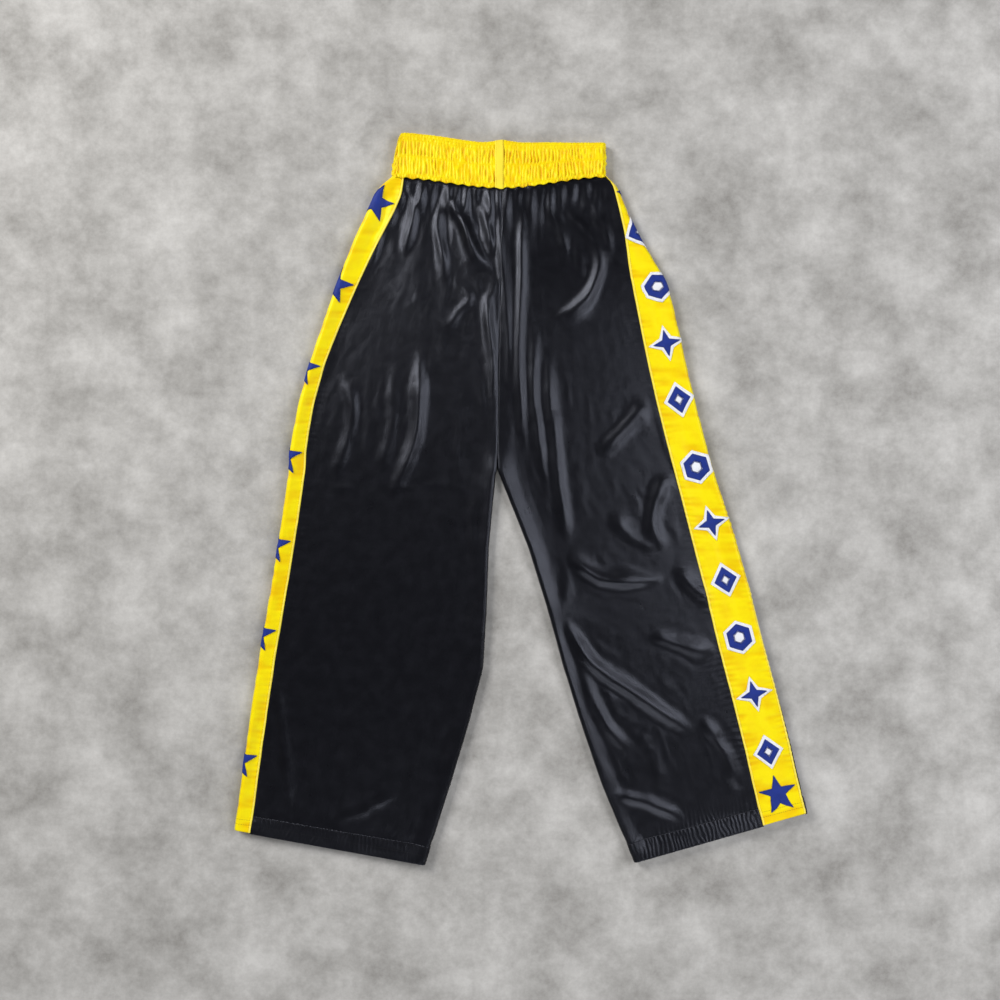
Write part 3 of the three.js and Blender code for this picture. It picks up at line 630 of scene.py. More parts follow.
class Band:
    """The waistband: a flattened ring, with s the distance round it from the left fold."""

    def __init__(self):
        solid = triangles("waistband_casing")
        flat = solid.reshape(-1, 3)
        self.left, self.right = flat[:, 0].min(), flat[:, 0].max()
        self.x = np.linspace(self.left + 1.5 * MM, self.right - 1.5 * MM, 90)
        ends = np.array([span(solid, 0, x) for x in self.x])
        self.low, self.high = Leg.smooth(ends, 4).T
        self.radius = 5.6 * MM
        self.straight = self.right - self.left - 2 * self.radius
        self.ring = 2 * self.straight + 2 * math.pi * self.radius
        join = triangles("waistband_join_strip").reshape(-1, 3)
        self.join = (join[:, 0].min(), join[:, 0].max())

    def section(self, s):
        """Plan x, and the height and the way out of the ring's section, in a unit circle."""
        s = np.mod(s, self.ring)
        arc = math.pi * self.radius
        first, second = self.straight, self.straight + arc
        third = second + self.straight
        x = np.where(s < first, self.left + self.radius + s, 0)
        angle = np.where(s < first, math.pi / 2, 0)
        turning = (s >= first) & (s < second)
        angle = np.where(turning, math.pi / 2 - (s - first) / self.radius, angle)
        x = np.where(turning, self.right - self.radius, x)
        back = (s >= second) & (s < third)
        angle = np.where(back, -math.pi / 2, angle)
        x = np.where(back, self.right - self.radius - (s - second), x)
        last = s >= third
        angle = np.where(last, -math.pi / 2 - (s - third) / self.radius, angle)
        x = np.where(last, self.left + self.radius, x)
        return x, np.cos(angle), np.sin(angle)

    def place(self, s, h, lift=0.0):
        """h runs from 0 at the seam to 1 at the top edge."""
        x, out, up = self.section(s)
        reach = self.radius + lift
        x = x + out * reach
        low, high = np.interp(x, self.x, self.low), np.interp(x, self.x, self.high)
        scallop = 0.9 * MM * np.cos(2 * math.pi * s / PLEAT + noise(40, s / 0.03))
        scallop = scallop * np.clip(1 - 4 * h, 0, 1)
        y = low + (high - low) * h + scallop
        middle = smoothstep(x, self.left, self.left + 0.05) * smoothstep(self.right - x, 0, 0.05)
        droop = np.where(up > 0, 2.4 * MM * middle * smoothstep(h, 0.1, 0.6), 0)
        z = UNDER + self.radius + up * reach - droop
        z = z + np.where(up > 0, 0.9 * MM * noise(41, x / 0.05, h * 2) * smoothstep(h, 0, 0.3), 0)
        return np.stack(np.broadcast_arrays(x, y, z), axis=-1)

    def shirring(self, s, h):
        """The depth of the band's small vertical pleats, pinched along each row of stitches."""
        pinch = np.ones(np.broadcast(s, h).shape)
        for row in BAND_ROWS:
            pinch = pinch * (1 - 0.82 * np.exp(-((h - row) / 0.035) ** 2))
        zone = np.digitize(h, BAND_ROWS)
        sway = 0.5 * noise(42, s / 0.011, h * 2.2 + 9 * zone) + 0.22 * noise(43, s / 0.004, h * 5)
        sharp = 1 - 2 * np.abs(np.sin(math.pi * (s / 0.0046 + sway)))
        small = noise(44, s / 0.0024, h * 7 + 5 * zone)
        size = 0.75 + 0.5 * noise(45, s / 0.017, h * 3 + 6 * zone)
        x = self.section(s)[0]
        joined = np.where(np.mod(s, self.ring) < self.straight,
                          bump((x - (self.join[0] + self.join[1]) / 2) / 0.0075) ** 2, 0)
        return sizes().crinkle * pinch * (1 - 0.9 * joined) * (0.55 * sharp * size + 0.55 * small)

    def surface(self, s, h, lift=0.0):
        """A point of the shirred band and the way out of it."""
        s, h = np.broadcast_arrays(np.asarray(s, float), np.asarray(h, float))
        depth = self.shirring(s, h)
        _, out, up = self.section(s)
        middle = self.place(s, h)
        way = np.stack([out, np.zeros_like(out), up], axis=-1)
        return floored(middle + way * (depth + lift)[..., None]), way


# ---- Meshes ----------------------------------------------------------------------------------------
def new_object(name, points, faces, uv=None, values=None):
    """A smooth mesh object, with a flat coordinate and named values at each point if given."""
    mesh = bpy.data.meshes.new(name)
    mesh.from_pydata(points.tolist(), [], [tuple(int(i) for i in face) for face in faces])
    corners = np.empty(len(mesh.loops), dtype=np.int32)
    mesh.loops.foreach_get("vertex_index", corners)
    if uv is not None:
        mesh.uv_layers.new(name="cloth").data.foreach_set("uv", uv[corners].ravel())
    for key, data in (values or {}).items():
        layer = mesh.attributes.new(key, "FLOAT", "POINT")
        layer.data.foreach_set("value", np.ascontiguousarray(data, dtype=np.float32))
    mesh.polygons.foreach_set("use_smooth", np.ones(len(mesh.polygons), dtype=bool))
    mesh.update()
    thing = bpy.data.objects.new(name, mesh)
    bpy.context.scene.collection.objects.link(thing)
    return thing


def quads_of(index):
    """The four corners of each cell of a grid of point numbers."""
    quads = np.stack([index[:-1, :-1], index[:-1, 1:], index[1:, 1:], index[1:, :-1]], axis=-1)
    return quads.reshape(-1, 4)


def walls(faces, count):
    """Faces between a surface's border and the same border count vertices further on."""
    faces = np.asarray(faces)
    sides = np.stack([faces, np.roll(faces, -1, axis=1)], axis=-1).reshape(-1, 2).astype(np.int64)
    forward = sides[:, 0] * count + sides[:, 1]
    backward = sides[:, 1] * count + sides[:, 0]
    p, q = sides[~np.isin(forward, backward)].T
    return np.stack([q, p, p + count, q + count], axis=1)


def grid_normals(points, out, wrap):
    """The way out of a grid of points, given the way out of its first one."""
    if wrap:
        across = np.roll(points, -1, axis=1) - np.roll(points, 1, axis=1)
    else:
        across = np.gradient(points, axis=1)
    normals = unit(np.cross(across, np.gradient(points, axis=0)))
    return normals if normals[0, 0] @ out > 0 else -normals


def cloth_grid(name, points, out, thickness, uv, values=None, wrap=False):
    """A sheet with thickness from a grid of its outer surface; wrap closes each row into a ring."""
    rows, columns = points.shape[:2]
    count = rows * columns
    normals = grid_normals(points, out, wrap)
    inner = points - normals * thickness
    index = np.arange(count).reshape(rows, columns)
    if wrap:
        index = np.hstack([index, index[:, :1]])
    quads = quads_of(index)
    a, b, c = (points.reshape(-1, 3)[quads[:, k]] for k in (0, 1, 2))
    if (np.cross(b - a, c - a) * normals.reshape(-1, 3)[quads[:, 0]]).sum() < 0:
        quads = quads[:, ::-1]
    faces = np.concatenate([quads, quads[:, ::-1] + count, walls(quads, count)])
    both = np.concatenate([points.reshape(-1, 3), inner.reshape(-1, 3)])
    doubled = {key: np.tile(data.reshape(-1), 2) for key, data in (values or {}).items()}
    return new_object(name, both, faces, np.tile(uv.reshape(-1, 2), (2, 1)), doubled)


def filled(outline, hole=None, pitch=2.2 * MM):
    """Triangles over a flat outline, with points inside it, and the outline's own edges."""
    loops = [outline] + ([hole] if hole is not None else [])
    points, edges = [], []
    for loop in loops:
        start = len(points)
        points.extend(loop.tolist())
        edges.extend((start + k, start + (k + 1) % len(loop)) for k in range(len(loop)))
    rim = len(points)
    low, high = outline.min(axis=0), outline.max(axis=0)
    x, y = np.meshgrid(np.arange(low[0], high[0], pitch), np.arange(low[1], high[1], pitch))
    inside = np.stack([x.ravel(), y.ravel()], axis=1)
    rims = np.array(points)
    gap = np.linalg.norm(inside[:, None] - rims[None], axis=2).min(axis=1)
    inside = inside[within(inside, outline) & (gap > 0.45 * pitch)]
    points.extend(inside.tolist())
    filling = delaunay([Vector(p) for p in points], edges, [], 0, 1e-7)
    flat = np.array([tuple(p) for p in filling[0]])
    faces = np.array(filling[2])
    middle = flat[faces].mean(axis=1)
    keep = within(middle, outline)
    if hole is not None:
        keep &= ~within(middle, hole)
    faces = faces[keep]
    a, b, c = (flat[faces[:, k]] for k in range(3))
    turn = (b[:, 0] - a[:, 0]) * (c[:, 1] - a[:, 1]) - (b[:, 1] - a[:, 1]) * (c[:, 0] - a[:, 0])
    faces[turn < 0] = faces[turn < 0][:, ::-1]
    return flat, faces, rim


def within(points, loop):
    """Whether each flat point is inside a closed outline."""
    x, y = points[:, 0][:, None], points[:, 1][:, None]
    ax, ay = loop[:, 0], loop[:, 1]
    bx, by = np.roll(ax, -1), np.roll(ay, -1)
    crosses = (ay > y) != (by > y)
    with np.errstate(divide="ignore", invalid="ignore"):
        reach = ax + (y - ay) * (bx - ax) / (by - ay)
    return (crosses & (x < reach)).sum(axis=1) % 2 == 1


def resampled(loop, pitch):
    """An outline's corners, with points between them at about the pitch."""
    found = []
    for start, stop in zip(loop, np.roll(loop, -1, axis=0)):
        count = max(1, round(np.linalg.norm(stop - start) / pitch))
        found.extend(start + (stop - start) * k / count for k in range(count))
    return np.array(found)


def slab_on(name, leg, station, middle, outline, hole, lift, thickness):
    """A flat shape laid on a stripe, lifted off it, with its edges pressed down."""
    hole = None if hole is None else resampled(hole, 1.3 * MM)
    flat, faces, rim = filled(resampled(outline, 1.3 * MM), hole)
    count = len(flat)
    height = np.full(count, lift + thickness)
    height[:rim] = lift + 0.45 * thickness
    v, a = on_stripe(leg, station + flat[:, 1], middle - leg.side * flat[:, 0])
    top, _ = on_leg(leg, v, a, height)
    base, _ = on_leg(leg, v, a, lift - 0.15 * MM)
    every = faces.tolist() + (faces[:, ::-1] + count).tolist() + walls(faces, count).tolist()
    return new_object(name, np.concatenate([top, base]), every, np.tile(flat, (2, 1)))


# ---- Materials -----------------------------------------------------------------------------------------
def node_group(name, outputs, inputs):
    """An empty shader group with its sockets, its input node and its output node."""
    group = bpy.data.node_groups.new(name, "ShaderNodeTree")
    for label, kind in inputs:
        group.interface.new_socket(name=label, in_out="INPUT", socket_type=kind)
    for label, kind in outputs:
        group.interface.new_socket(name=label, in_out="OUTPUT", socket_type=kind)
    return group, group.nodes.new("NodeGroupInput"), group.nodes.new("NodeGroupOutput")


def math_node(nodes, links, operation, first, second=None):
    """A maths node on two numbers or sockets."""
    made = nodes.new("ShaderNodeMath")
    made.operation = operation
    for socket, value in zip(made.inputs, (first, second)):
        if value is None:
            continue
        if isinstance(value, (int, float)):
            socket.default_value = value
        else:
            links.new(value, socket)
    return made.outputs[0]


def weave_group():
    """Height of a woven cloth: threads each way on its own flat coordinates, and slow unevenness."""
    found = bpy.data.node_groups.get("Cloth weave")
    if found:
        return found
    group, start, end = node_group(
        "Cloth weave", (("Height", "NodeSocketFloat"), ("Uneven", "NodeSocketFloat")),
        (("Cloth", "NodeSocketVector"), ("Threads per metre", "NodeSocketFloat"),
         ("Streaks", "NodeSocketFloat")))
    nodes, links = group.nodes, group.links
    apart = nodes.new("ShaderNodeSeparateXYZ")
    links.new(start.outputs["Cloth"], apart.inputs[0])
    full = math_node(nodes, links, "MULTIPLY", start.outputs["Threads per metre"], 2 * math.pi)
    warp = math_node(nodes, links, "SINE", math_node(nodes, links, "MULTIPLY", apart.outputs[0], full))
    half = math_node(nodes, links, "MULTIPLY", full, 0.22)
    weft = math_node(nodes, links, "SINE", math_node(nodes, links, "MULTIPLY", apart.outputs[1], half))
    both = math_node(nodes, links, "ADD", warp, math_node(nodes, links, "MULTIPLY", weft, 0.35))
    stretched = nodes.new("ShaderNodeMapping")
    stretched.inputs["Scale"].default_value = (1, 0.05, 1)
    links.new(start.outputs["Cloth"], stretched.inputs["Vector"])
    streaks = nodes.new("ShaderNodeTexNoise")
    streaks.inputs["Scale"].default_value = 520
    streaks.inputs["Detail"].default_value = 3
    links.new(stretched.outputs["Vector"], streaks.inputs["Vector"])
    streak = math_node(nodes, links, "MULTIPLY", streaks.outputs["Fac"], start.outputs["Streaks"])
    links.new(math_node(nodes, links, "ADD", both, streak), end.inputs["Height"])
    slow = nodes.new("ShaderNodeTexNoise")
    slow.inputs["Scale"].default_value = 55
    slow.inputs["Detail"].default_value = 4
    links.new(start.outputs["Cloth"], slow.inputs["Vector"])
    links.new(slow.outputs["Fac"], end.inputs["Uneven"])
    return group


def cloth_material(name, base, other, roughness, specular, threads, crease_shade=0.0, edge=None,
                   depth=0.12, streaks=0.0, gloss_tint=(1, 1, 1)):
    """A woven cloth: base colour drifting to another, thread bump, and its gloss."""
    made = bpy.data.materials.new(name)
    made.use_nodes = True
    nodes, links = made.node_tree.nodes, made.node_tree.links
    shader = nodes["Principled BSDF"]
    coordinates = nodes.new("ShaderNodeTexCoord")
    weave = nodes.new("ShaderNodeGroup")
    weave.node_tree = weave_group()
    weave.inputs["Threads per metre"].default_value = threads
    weave.inputs["Streaks"].default_value = streaks
    links.new(coordinates.outputs["UV"], weave.inputs["Cloth"])
    drift = nodes.new("ShaderNodeMix")
    drift.data_type = "RGBA"
    drift.inputs[6].default_value = (*base, 1)
    drift.inputs[7].default_value = (*other, 1)
    spread = nodes.new("ShaderNodeMapRange")
    spread.inputs["From Min"].default_value = 0.42
    spread.inputs["From Max"].default_value = 0.78
    links.new(weave.outputs["Uneven"], spread.inputs["Value"])
    amount = spread.outputs["Result"]
    # Painted shade: the crease attribute mixes the second colour in where the cloth's hollows are
    if crease_shade:
        crease_shade_node = nodes.new("ShaderNodeAttribute")
        crease_shade_node.attribute_name = "crease_shade"
        amount = math_node(nodes, links, "ADD", math_node(nodes, links, "MULTIPLY", amount, 0.35),
                           math_node(nodes, links, "MULTIPLY", crease_shade_node.outputs["Fac"], crease_shade))
        amount = math_node(nodes, links, "MINIMUM", amount, 1.0)
    links.new(amount, drift.inputs[0])
    colour_out = drift.outputs[2]
    # Painted highlight: the edge attribute mixes in a paler colour where a welt or flat strip would catch
    # the light
    if edge is not None:
        turned = nodes.new("ShaderNodeAttribute")
        turned.attribute_name = "edge"
        highlight_mix = nodes.new("ShaderNodeMix")
        highlight_mix.data_type = "RGBA"
        highlight_mix.inputs[7].default_value = (*edge, 1)
        links.new(turned.outputs["Fac"], highlight_mix.inputs[0])
        links.new(colour_out, highlight_mix.inputs[6])
        colour_out = highlight_mix.outputs[2]
    links.new(colour_out, shader.inputs["Base Color"])
    rough = nodes.new("ShaderNodeMapRange")
    rough.inputs["To Min"].default_value = roughness - 0.05
    rough.inputs["To Max"].default_value = roughness + 0.07
    links.new(weave.outputs["Uneven"], rough.inputs["Value"])
    links.new(rough.outputs["Result"], shader.inputs["Roughness"])
    bumped = nodes.new("ShaderNodeBump")
    bumped.inputs["Strength"].default_value = depth
    bumped.inputs["Distance"].default_value = 0.0001
    links.new(weave.outputs["Height"], bumped.inputs["Height"])
    links.new(bumped.outputs["Normal"], shader.inputs["Normal"])
    shader.inputs["Specular IOR Level"].default_value = specular
    shader.inputs["Specular Tint"].default_value = (*gloss_tint, 1)
    return made


def dim(tone, share):
    return tuple(part * share for part in tone)


def finishes():
    """Each cloth's and thread's two colours, roughness, specular level, threads per metre and the rest."""
    shades = colours()
    black, yellow, shade = tuple(shades.black), tuple(shades.yellow), tuple(shades.shade)
    blue, white, webbing = tuple(shades.blue), tuple(shades.white), tuple(shades.webbing)
    night, gold = (0.80, 0.84, 1.0), (1.0, 0.88, 0.35)
    dark = {"depth": 0.24, "streaks": 7, "gloss_tint": night}
    painted_highlight = tuple(min(1, 0.5 * part + 0.5) for part in yellow)
    return {
        "Black satin": (black, dim(black, 1.5), 0.29, 0.42, 2600, dark),
        "Black satin, shirred": (black, dim(black, 1.4), 0.32, 0.40, 2600, dark),
        # The yellow satins' second colour is painted shade for their creases, and the paler edge colour is
        # a painted highlight
        "Yellow satin": (yellow, shade, 0.40, 0.35, 2600,
                         {"crease_shade": 0.6, "edge": painted_highlight, "streaks": 3, "gloss_tint": gold}),
        "Yellow satin, shirred": (yellow, shade, 0.42, 0.35, 2600, {"crease_shade": 0.9, "gloss_tint": gold}),
        "Blue twill": (blue, dim(blue, 0.75), 0.62, 0.3, 1400, {"depth": 0.4}),
        "White twill": (white, dim(white, 0.9), 0.68, 0.25, 1400, {"depth": 0.4}),
        "Elastic webbing": (webbing, dim(webbing, 0.8), 0.75, 0.2, 700, {"depth": 0.6}),
        "Black thread": (dim(black, 1.6), black, 0.5, 0.4, 5000, {}),
        "Yellow thread": (dim(yellow, 0.82), shade, 0.5, 0.4, 5000, {}),
        "Dark hem thread": ((0.10, 0.07, 0.02), (0.2, 0.13, 0.03), 0.6, 0.3, 5000, {}),
        "Blue thread": (dim(blue, 0.85), dim(blue, 0.6), 0.42, 0.45, 5000, {}),
        "White thread": (white, dim(white, 0.85), 0.5, 0.4, 5000, {}),
    }


def finish_of(name):
    """The material of a cloth or thread, made once."""
    if name not in FINISHES:
        *values, rest = finishes()[name]
        FINISHES[name] = cloth_material(name, *values, **rest)
    return FINISHES[name]


def settle_in(piece, finish, slot, *nodes):
    """Gives a piece its finish and its body, and hides the nodes that it stands for."""
    piece.data.materials.append(finish_of(finish))
    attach(piece, "root")
    if nodes:
        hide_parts(*nodes)
    return piece


# ---- Thread ------------------------------------------------------------------------------------------
def stitch_tree():
    """Stitches along lines: round-ended bars at an even pitch, turned from the line by an angle."""
    found = bpy.data.node_groups.get("Stitches")
    if found:
        return found
    tree = bpy.data.node_groups.new("Stitches", "GeometryNodeTree")
    face = tree.interface
    face.new_socket(name="Lines", in_out="INPUT", socket_type="NodeSocketGeometry")
    for label in ("Pitch", "Length", "Thickness", "Turn"):
        face.new_socket(name=label, in_out="INPUT", socket_type="NodeSocketFloat")
    face.new_socket(name="Thread", in_out="INPUT", socket_type="NodeSocketMaterial")
    face.new_socket(name="Stitches", in_out="OUTPUT", socket_type="NodeSocketGeometry")
    nodes, links = tree.nodes, tree.links
    start, end = nodes.new("NodeGroupInput"), nodes.new("NodeGroupOutput")

    def vector(operation, *sources):
        made = nodes.new("ShaderNodeVectorMath")
        made.operation = operation
        for socket, source in zip(made.inputs, sources):
            links.new(source, socket)
        return made

    curve = nodes.new("GeometryNodeMeshToCurve")
    links.new(start.outputs["Lines"], curve.inputs["Mesh"])
    even = nodes.new("GeometryNodeResampleCurve")
    even.mode = "LENGTH"
    links.new(curve.outputs["Curve"], even.inputs["Curve"])
    links.new(start.outputs["Pitch"], even.inputs["Length"])
    tangent = nodes.new("GeometryNodeInputTangent").outputs["Tangent"]
    up = nodes.new("GeometryNodeInputNamedAttribute")
    up.data_type = "FLOAT_VECTOR"
    up.inputs["Name"].default_value = "up"
    up = up.outputs["Attribute"]
    aside = vector("CROSS_PRODUCT", up, tangent).outputs["Vector"]
    cosine = math_node(nodes, links, "COSINE", start.outputs["Turn"])
    sine = math_node(nodes, links, "SINE", start.outputs["Turn"])
    ahead = vector("SCALE", tangent)
    links.new(cosine, ahead.inputs["Scale"])
    turned = vector("SCALE", aside)
    links.new(sine, turned.inputs["Scale"])
    along = vector("ADD", ahead.outputs["Vector"], turned.outputs["Vector"]).outputs["Vector"]
    axes = nodes.new("FunctionNodeAxesToRotation")
    axes.primary_axis = "X"
    axes.secondary_axis = "Z"
    links.new(along, axes.inputs["Primary Axis"])
    links.new(up, axes.inputs["Secondary Axis"])
    bar = nodes.new("GeometryNodeMeshUVSphere")
    bar.inputs["Segments"].default_value = 6
    bar.inputs["Rings"].default_value = 4
    bar.inputs["Radius"].default_value = 0.5
    size = nodes.new("ShaderNodeCombineXYZ")
    for axis, label in (("X", "Length"), ("Y", "Thickness"), ("Z", "Thickness")):
        links.new(start.outputs[label], size.inputs[axis])
    placed = nodes.new("GeometryNodeInstanceOnPoints")
    links.new(even.outputs["Curve"], placed.inputs["Points"])
    links.new(bar.outputs["Mesh"], placed.inputs["Instance"])
    links.new(axes.outputs["Rotation"], placed.inputs["Rotation"])
    links.new(size.outputs["Vector"], placed.inputs["Scale"])
    real = nodes.new("GeometryNodeRealizeInstances")
    links.new(placed.outputs["Instances"], real.inputs["Geometry"])
    smooth = nodes.new("GeometryNodeSetShadeSmooth")
    links.new(real.outputs["Geometry"], smooth.inputs["Geometry"])
    painted = nodes.new("GeometryNodeSetMaterial")
    links.new(smooth.outputs["Geometry"], painted.inputs["Geometry"])
    links.new(start.outputs["Thread"], painted.inputs["Material"])
    links.new(painted.outputs["Geometry"], end.inputs["Stitches"])
    return tree


def sew(name, lines, finish, pitch, length_of, thickness, turn=0.0):
    """One piece of thread: stitches along lines, each given as its points, the way up and if it closes."""
    points, ups, edges = [], [], []
    for line, up, closed in lines:
        start = sum(len(p) for p in points)
        count = len(line)
        points.append(line)
        ups.append(up)
        edges.extend((start + k, start + (k + 1) % count) for k in range(count if closed else count - 1))
    mesh = bpy.data.meshes.new(name + "_lines")
    mesh.from_pydata(np.concatenate(points).tolist(), edges, [])
    layer = mesh.attributes.new("up", "FLOAT_VECTOR", "POINT")
    layer.data.foreach_set("vector", np.concatenate(ups).astype(np.float32).ravel())
    guide = bpy.data.objects.new(name + "_lines", mesh)
    bpy.context.scene.collection.objects.link(guide)
    tree = stitch_tree()
    modifier = guide.modifiers.new("Stitches", "NODES")
    modifier.node_group = tree
    given = {"Pitch": pitch, "Length": length_of, "Thickness": thickness, "Turn": turn,
             "Thread": finish_of(finish)}
    for socket in tree.interface.items_tree:
        if socket.in_out == "INPUT" and socket.name in given:
            modifier[socket.identifier] = given[socket.name]
    done = bpy.data.meshes.new_from_object(guide.evaluated_get(bpy.context.evaluated_depsgraph_get()))
    guide.modifiers.remove(modifier)
    bpy.data.objects.remove(guide)
    piece = bpy.data.objects.new(name, done)
    bpy.context.scene.collection.objects.link(piece)
    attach(piece, "root")
    return piece


# ---- Outlines --------------------------------------------------------------------------------------------
def pointed(count, reach, inner):
    """A pointed outline, anticlockwise from its top point."""
    angle = math.pi / 2 + math.pi * np.arange(2 * count) / count
    radius = np.where(np.arange(2 * count) % 2, inner, reach)
    return np.stack([radius * np.cos(angle), radius * np.sin(angle)], axis=1)


def motif_outline(kind, height):
    """A motif's outline and its hole, if it has one."""
    wide = 0.84 * height
    if kind == 0:
        rim = np.array([(0, height / 2), (-wide / 2, 0), (0, -height / 2), (wide / 2, 0)])
        return rim, rim * 0.42
    if kind == 1:
        return pointed(4, height / 2, height * 0.19), None
    angle = math.pi / 2 + math.pi / 3 * np.arange(6)
    rim = np.stack([wide / 2 * np.cos(angle) / math.cos(math.pi / 6), height / 2 * np.sin(angle)], axis=1)
    return rim, rim * 0.48


def grown(outline, margin):
    """An outline moved outwards by a margin."""
    before, after = np.roll(outline, 1, axis=0), np.roll(outline, -1, axis=0)
    sides = [unit(outline - before), unit(after - outline)]
    outs = [np.stack([side[:, 1], -side[:, 0]], axis=1) for side in sides]
    middle = unit(outs[0] + outs[1])
    reach = margin / np.maximum((middle * outs[0]).sum(axis=1), 0.6)
    return outline + middle * reach[:, None]


def station_of(leg, node):
    """How far up the stripe a node's middle is, and the distance of the stripe's middle from the fold."""
    low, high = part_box(node)
    stations = np.linspace(0, leg.lengths[-1], 500)
    v = np.interp(stations, leg.lengths, leg.v)
    straight = np.sqrt(1 - leg.at("lean", v) ** 2)
    middle = (leg.at("seam", v) - leg.at("stripe", v) / 2) * straight
    y = leg.place(*on_stripe(leg, stations, middle))[:, 1]
    station = np.interp((low[1] + high[1]) / 2, y, stations)
    middle = np.interp(station, stations, middle)
    return station, max(middle, 0) if "motif" in node else middle


# ---- Operators --------------------------------------------------------------------------------
class TROUSERS_OT_cloth(Operator):
    """Read both legs and the waistband from the frame and let the cloth settle"""
    bl_idname = "trousers.cloth"
    bl_label = "Lay the cloth"

    def execute(self, context):
        band = Band()
        gap_y, inner = self.crotch()
        middle = sum(band.join) / 2 + 4 * MM
        waist = (middle, np.interp(middle, band.x, band.low))
        sides = (band.low[0], band.low[-1])
        legs = [Leg(name, side, (inner, gap_y), (*waist, end))
                for name, side, end in (("left", -1, sides[0]), ("right", 1, sides[1]))]
        lay_cloth(legs)
        LAID.update(legs=legs, band=band)
        return {"FINISHED"}

    @staticmethod
    def crotch():
        """The highest place where the two legs are apart."""
        left, right = triangles("left_front_panel"), triangles("right_front_panel")
        for y in np.arange(0.08, -0.05, -0.001):
            near, far = span(left, 1, y)[1], span(right, 1, y)[0]
            if far - near > 3 * MM:
                return y, (near + far) / 2
        raise RuntimeError("The legs never part")


class TROUSERS_OT_panels(Operator):
    """Make the black satin front and back panels"""
    bl_idname = "trousers.panels"
    bl_label = "Panels"

    def execute(self, context):
        for leg in LAID["legs"]:
            self.panel(leg, "front", 350, 98)
            self.panel(leg, "back", 180, 54)
        return {"FINISHED"}

    def panel(self, leg, layer, rows, columns):
        lap = 1.5 * MM
        low = HEM_HEIGHT / leg.lengths[-1] - 0.006
        v = np.broadcast_to(np.linspace(low, 1, rows)[:, None], (rows, columns))
        seam, end = leg.at("seam", v), leg.at("end", v)
        share = np.linspace(0, 1, columns)
        if layer == "front":
            a = seam - lap + (end - seam + lap) * share
        else:
            back = seam - leg.at("stripe", v) + lap
            a = back - (end + back) * share
        below_waist = leg.lengths[-1] - leg.at("lengths", v)
        tucked = -1.2 * MM * (1 - smoothstep(below_waist, 3.5 * MM, 8 * MM)) * (layer == "front")
        points, normals = on_leg(leg, v, a, tucked)
        uv = np.stack([a, leg.at("lengths", v)], axis=-1)
        name = f"{leg.name}_{layer}_panel"
        piece = cloth_grid(name + "_cloth", points, normals[0, 0], sizes().cloth, uv)
        settle_in(piece, "Black satin", "black_satin", name)
        width = np.abs(a[:, -1] - a[:, 0]) * fullness_of(leg.at("rise", v[:, 0]), 1.015)
        steps = np.diff(leg.at("lengths", v[:, 0]))


class TROUSERS_OT_stripes(Operator):
    """Make the yellow satin side stripes, which wrap the outer folds"""
    bl_idname = "trousers.stripes"
    bl_label = "Side stripes"

    def execute(self, context):
        for leg in LAID["legs"]:
            edge = np.array([0, 0.5, 1.1, 1.8, 2.4, 2.9, 3.4, 4.2]) * MM
            wide = 60 * MM
            inside = np.linspace(edge[-1] + 1.5 * MM, wide - edge[-1] - 1.5 * MM, 32)
            across = np.concatenate([edge, inside, wide - edge[::-1]])
            v = np.broadcast_to(np.linspace(2 * MM / leg.lengths[-1], 1, 560)[:, None], (560, len(across)))
            seam = leg.at("seam", v)
            a = seam + 1 * MM - across / wide * (leg.at("stripe", v) + 2 * MM)
            near = np.minimum(across, wide - across)
            welt = smoothstep(near, 0, 0.8 * MM) * smoothstep(2.9 * MM - near, 0, 0.9 * MM)
            lift = 0.5 * MM + 0.4 * MM * welt
            points, normals = on_leg(leg, v, a, np.broadcast_to(lift, v.shape))
            uv = np.stack([a, leg.at("lengths", v)], axis=-1)
            wave = puckers(leg, v, a)
            # Painted light: a highlight painted on the welts along both seams, and shade painted into the
            # puckers' hollows
            values = {"edge": np.broadcast_to(0.22 * welt, v.shape),
                      "crease_shade": np.clip(0.2 - wave / (0.45 * MM), 0, 1) * (1 - welt)}
            name = f"{leg.name}_side_stripe"
            piece = cloth_grid(name + "_cloth", points, normals[0, 0], sizes().cloth, uv, values)
            settle_in(piece, "Yellow satin", "yellow_satin", name)
        return {"FINISHED"}


class TROUSERS_OT_hems(Operator):
    """Make the shirred hem casings and the elastic inside them"""
    bl_idname = "trousers.hems"
    bl_label = "Hems"

    def execute(self, context):
        for leg in LAID["legs"]:
            name = f"{leg.name}_hem_casing"
            turn = np.linspace(0, math.pi, 7)[1:-1]
            height = np.concatenate([np.linspace(1.05, 0.06, 22), 0.05 - 0.045 * np.sin(turn),
                                     np.linspace(0.06, 0.95, 10)])
            lift = np.concatenate([np.full(22, 0.45), 0.45 - 0.9 * (1 - np.cos(turn)), np.full(10, -1.35)])
            lift[:2] = (0.2, 0.38)  # the top edge is sewn down
            casing, _ = self.tube(leg, name + "_cloth", height, lift * MM, sizes().cloth)
            strip, way_round = self.tube(leg, f"{leg.name}_hem_elastic_webbing", np.linspace(0.12, 0.9, 8),
                                         np.full(8, -0.15 * MM), 0.5 * MM)
            settle_in(strip, "Elastic webbing", "elastic", f"{leg.name}_hem_elastic")
            settle_in(casing, "Black satin, shirred", "black_satin", name)
        return {"FINISHED"}

    @staticmethod
    def tube(leg, name, height, lift, thickness):
        """A sheet round the hem, and its way round."""
        points, out, path = hem_ring(leg, height, lift)
        uv = np.stack([path, np.broadcast_to(height[:, None] * HEM_HEIGHT, path.shape)], axis=-1)
        return cloth_grid(name, points, out, thickness, uv), float(path.max())


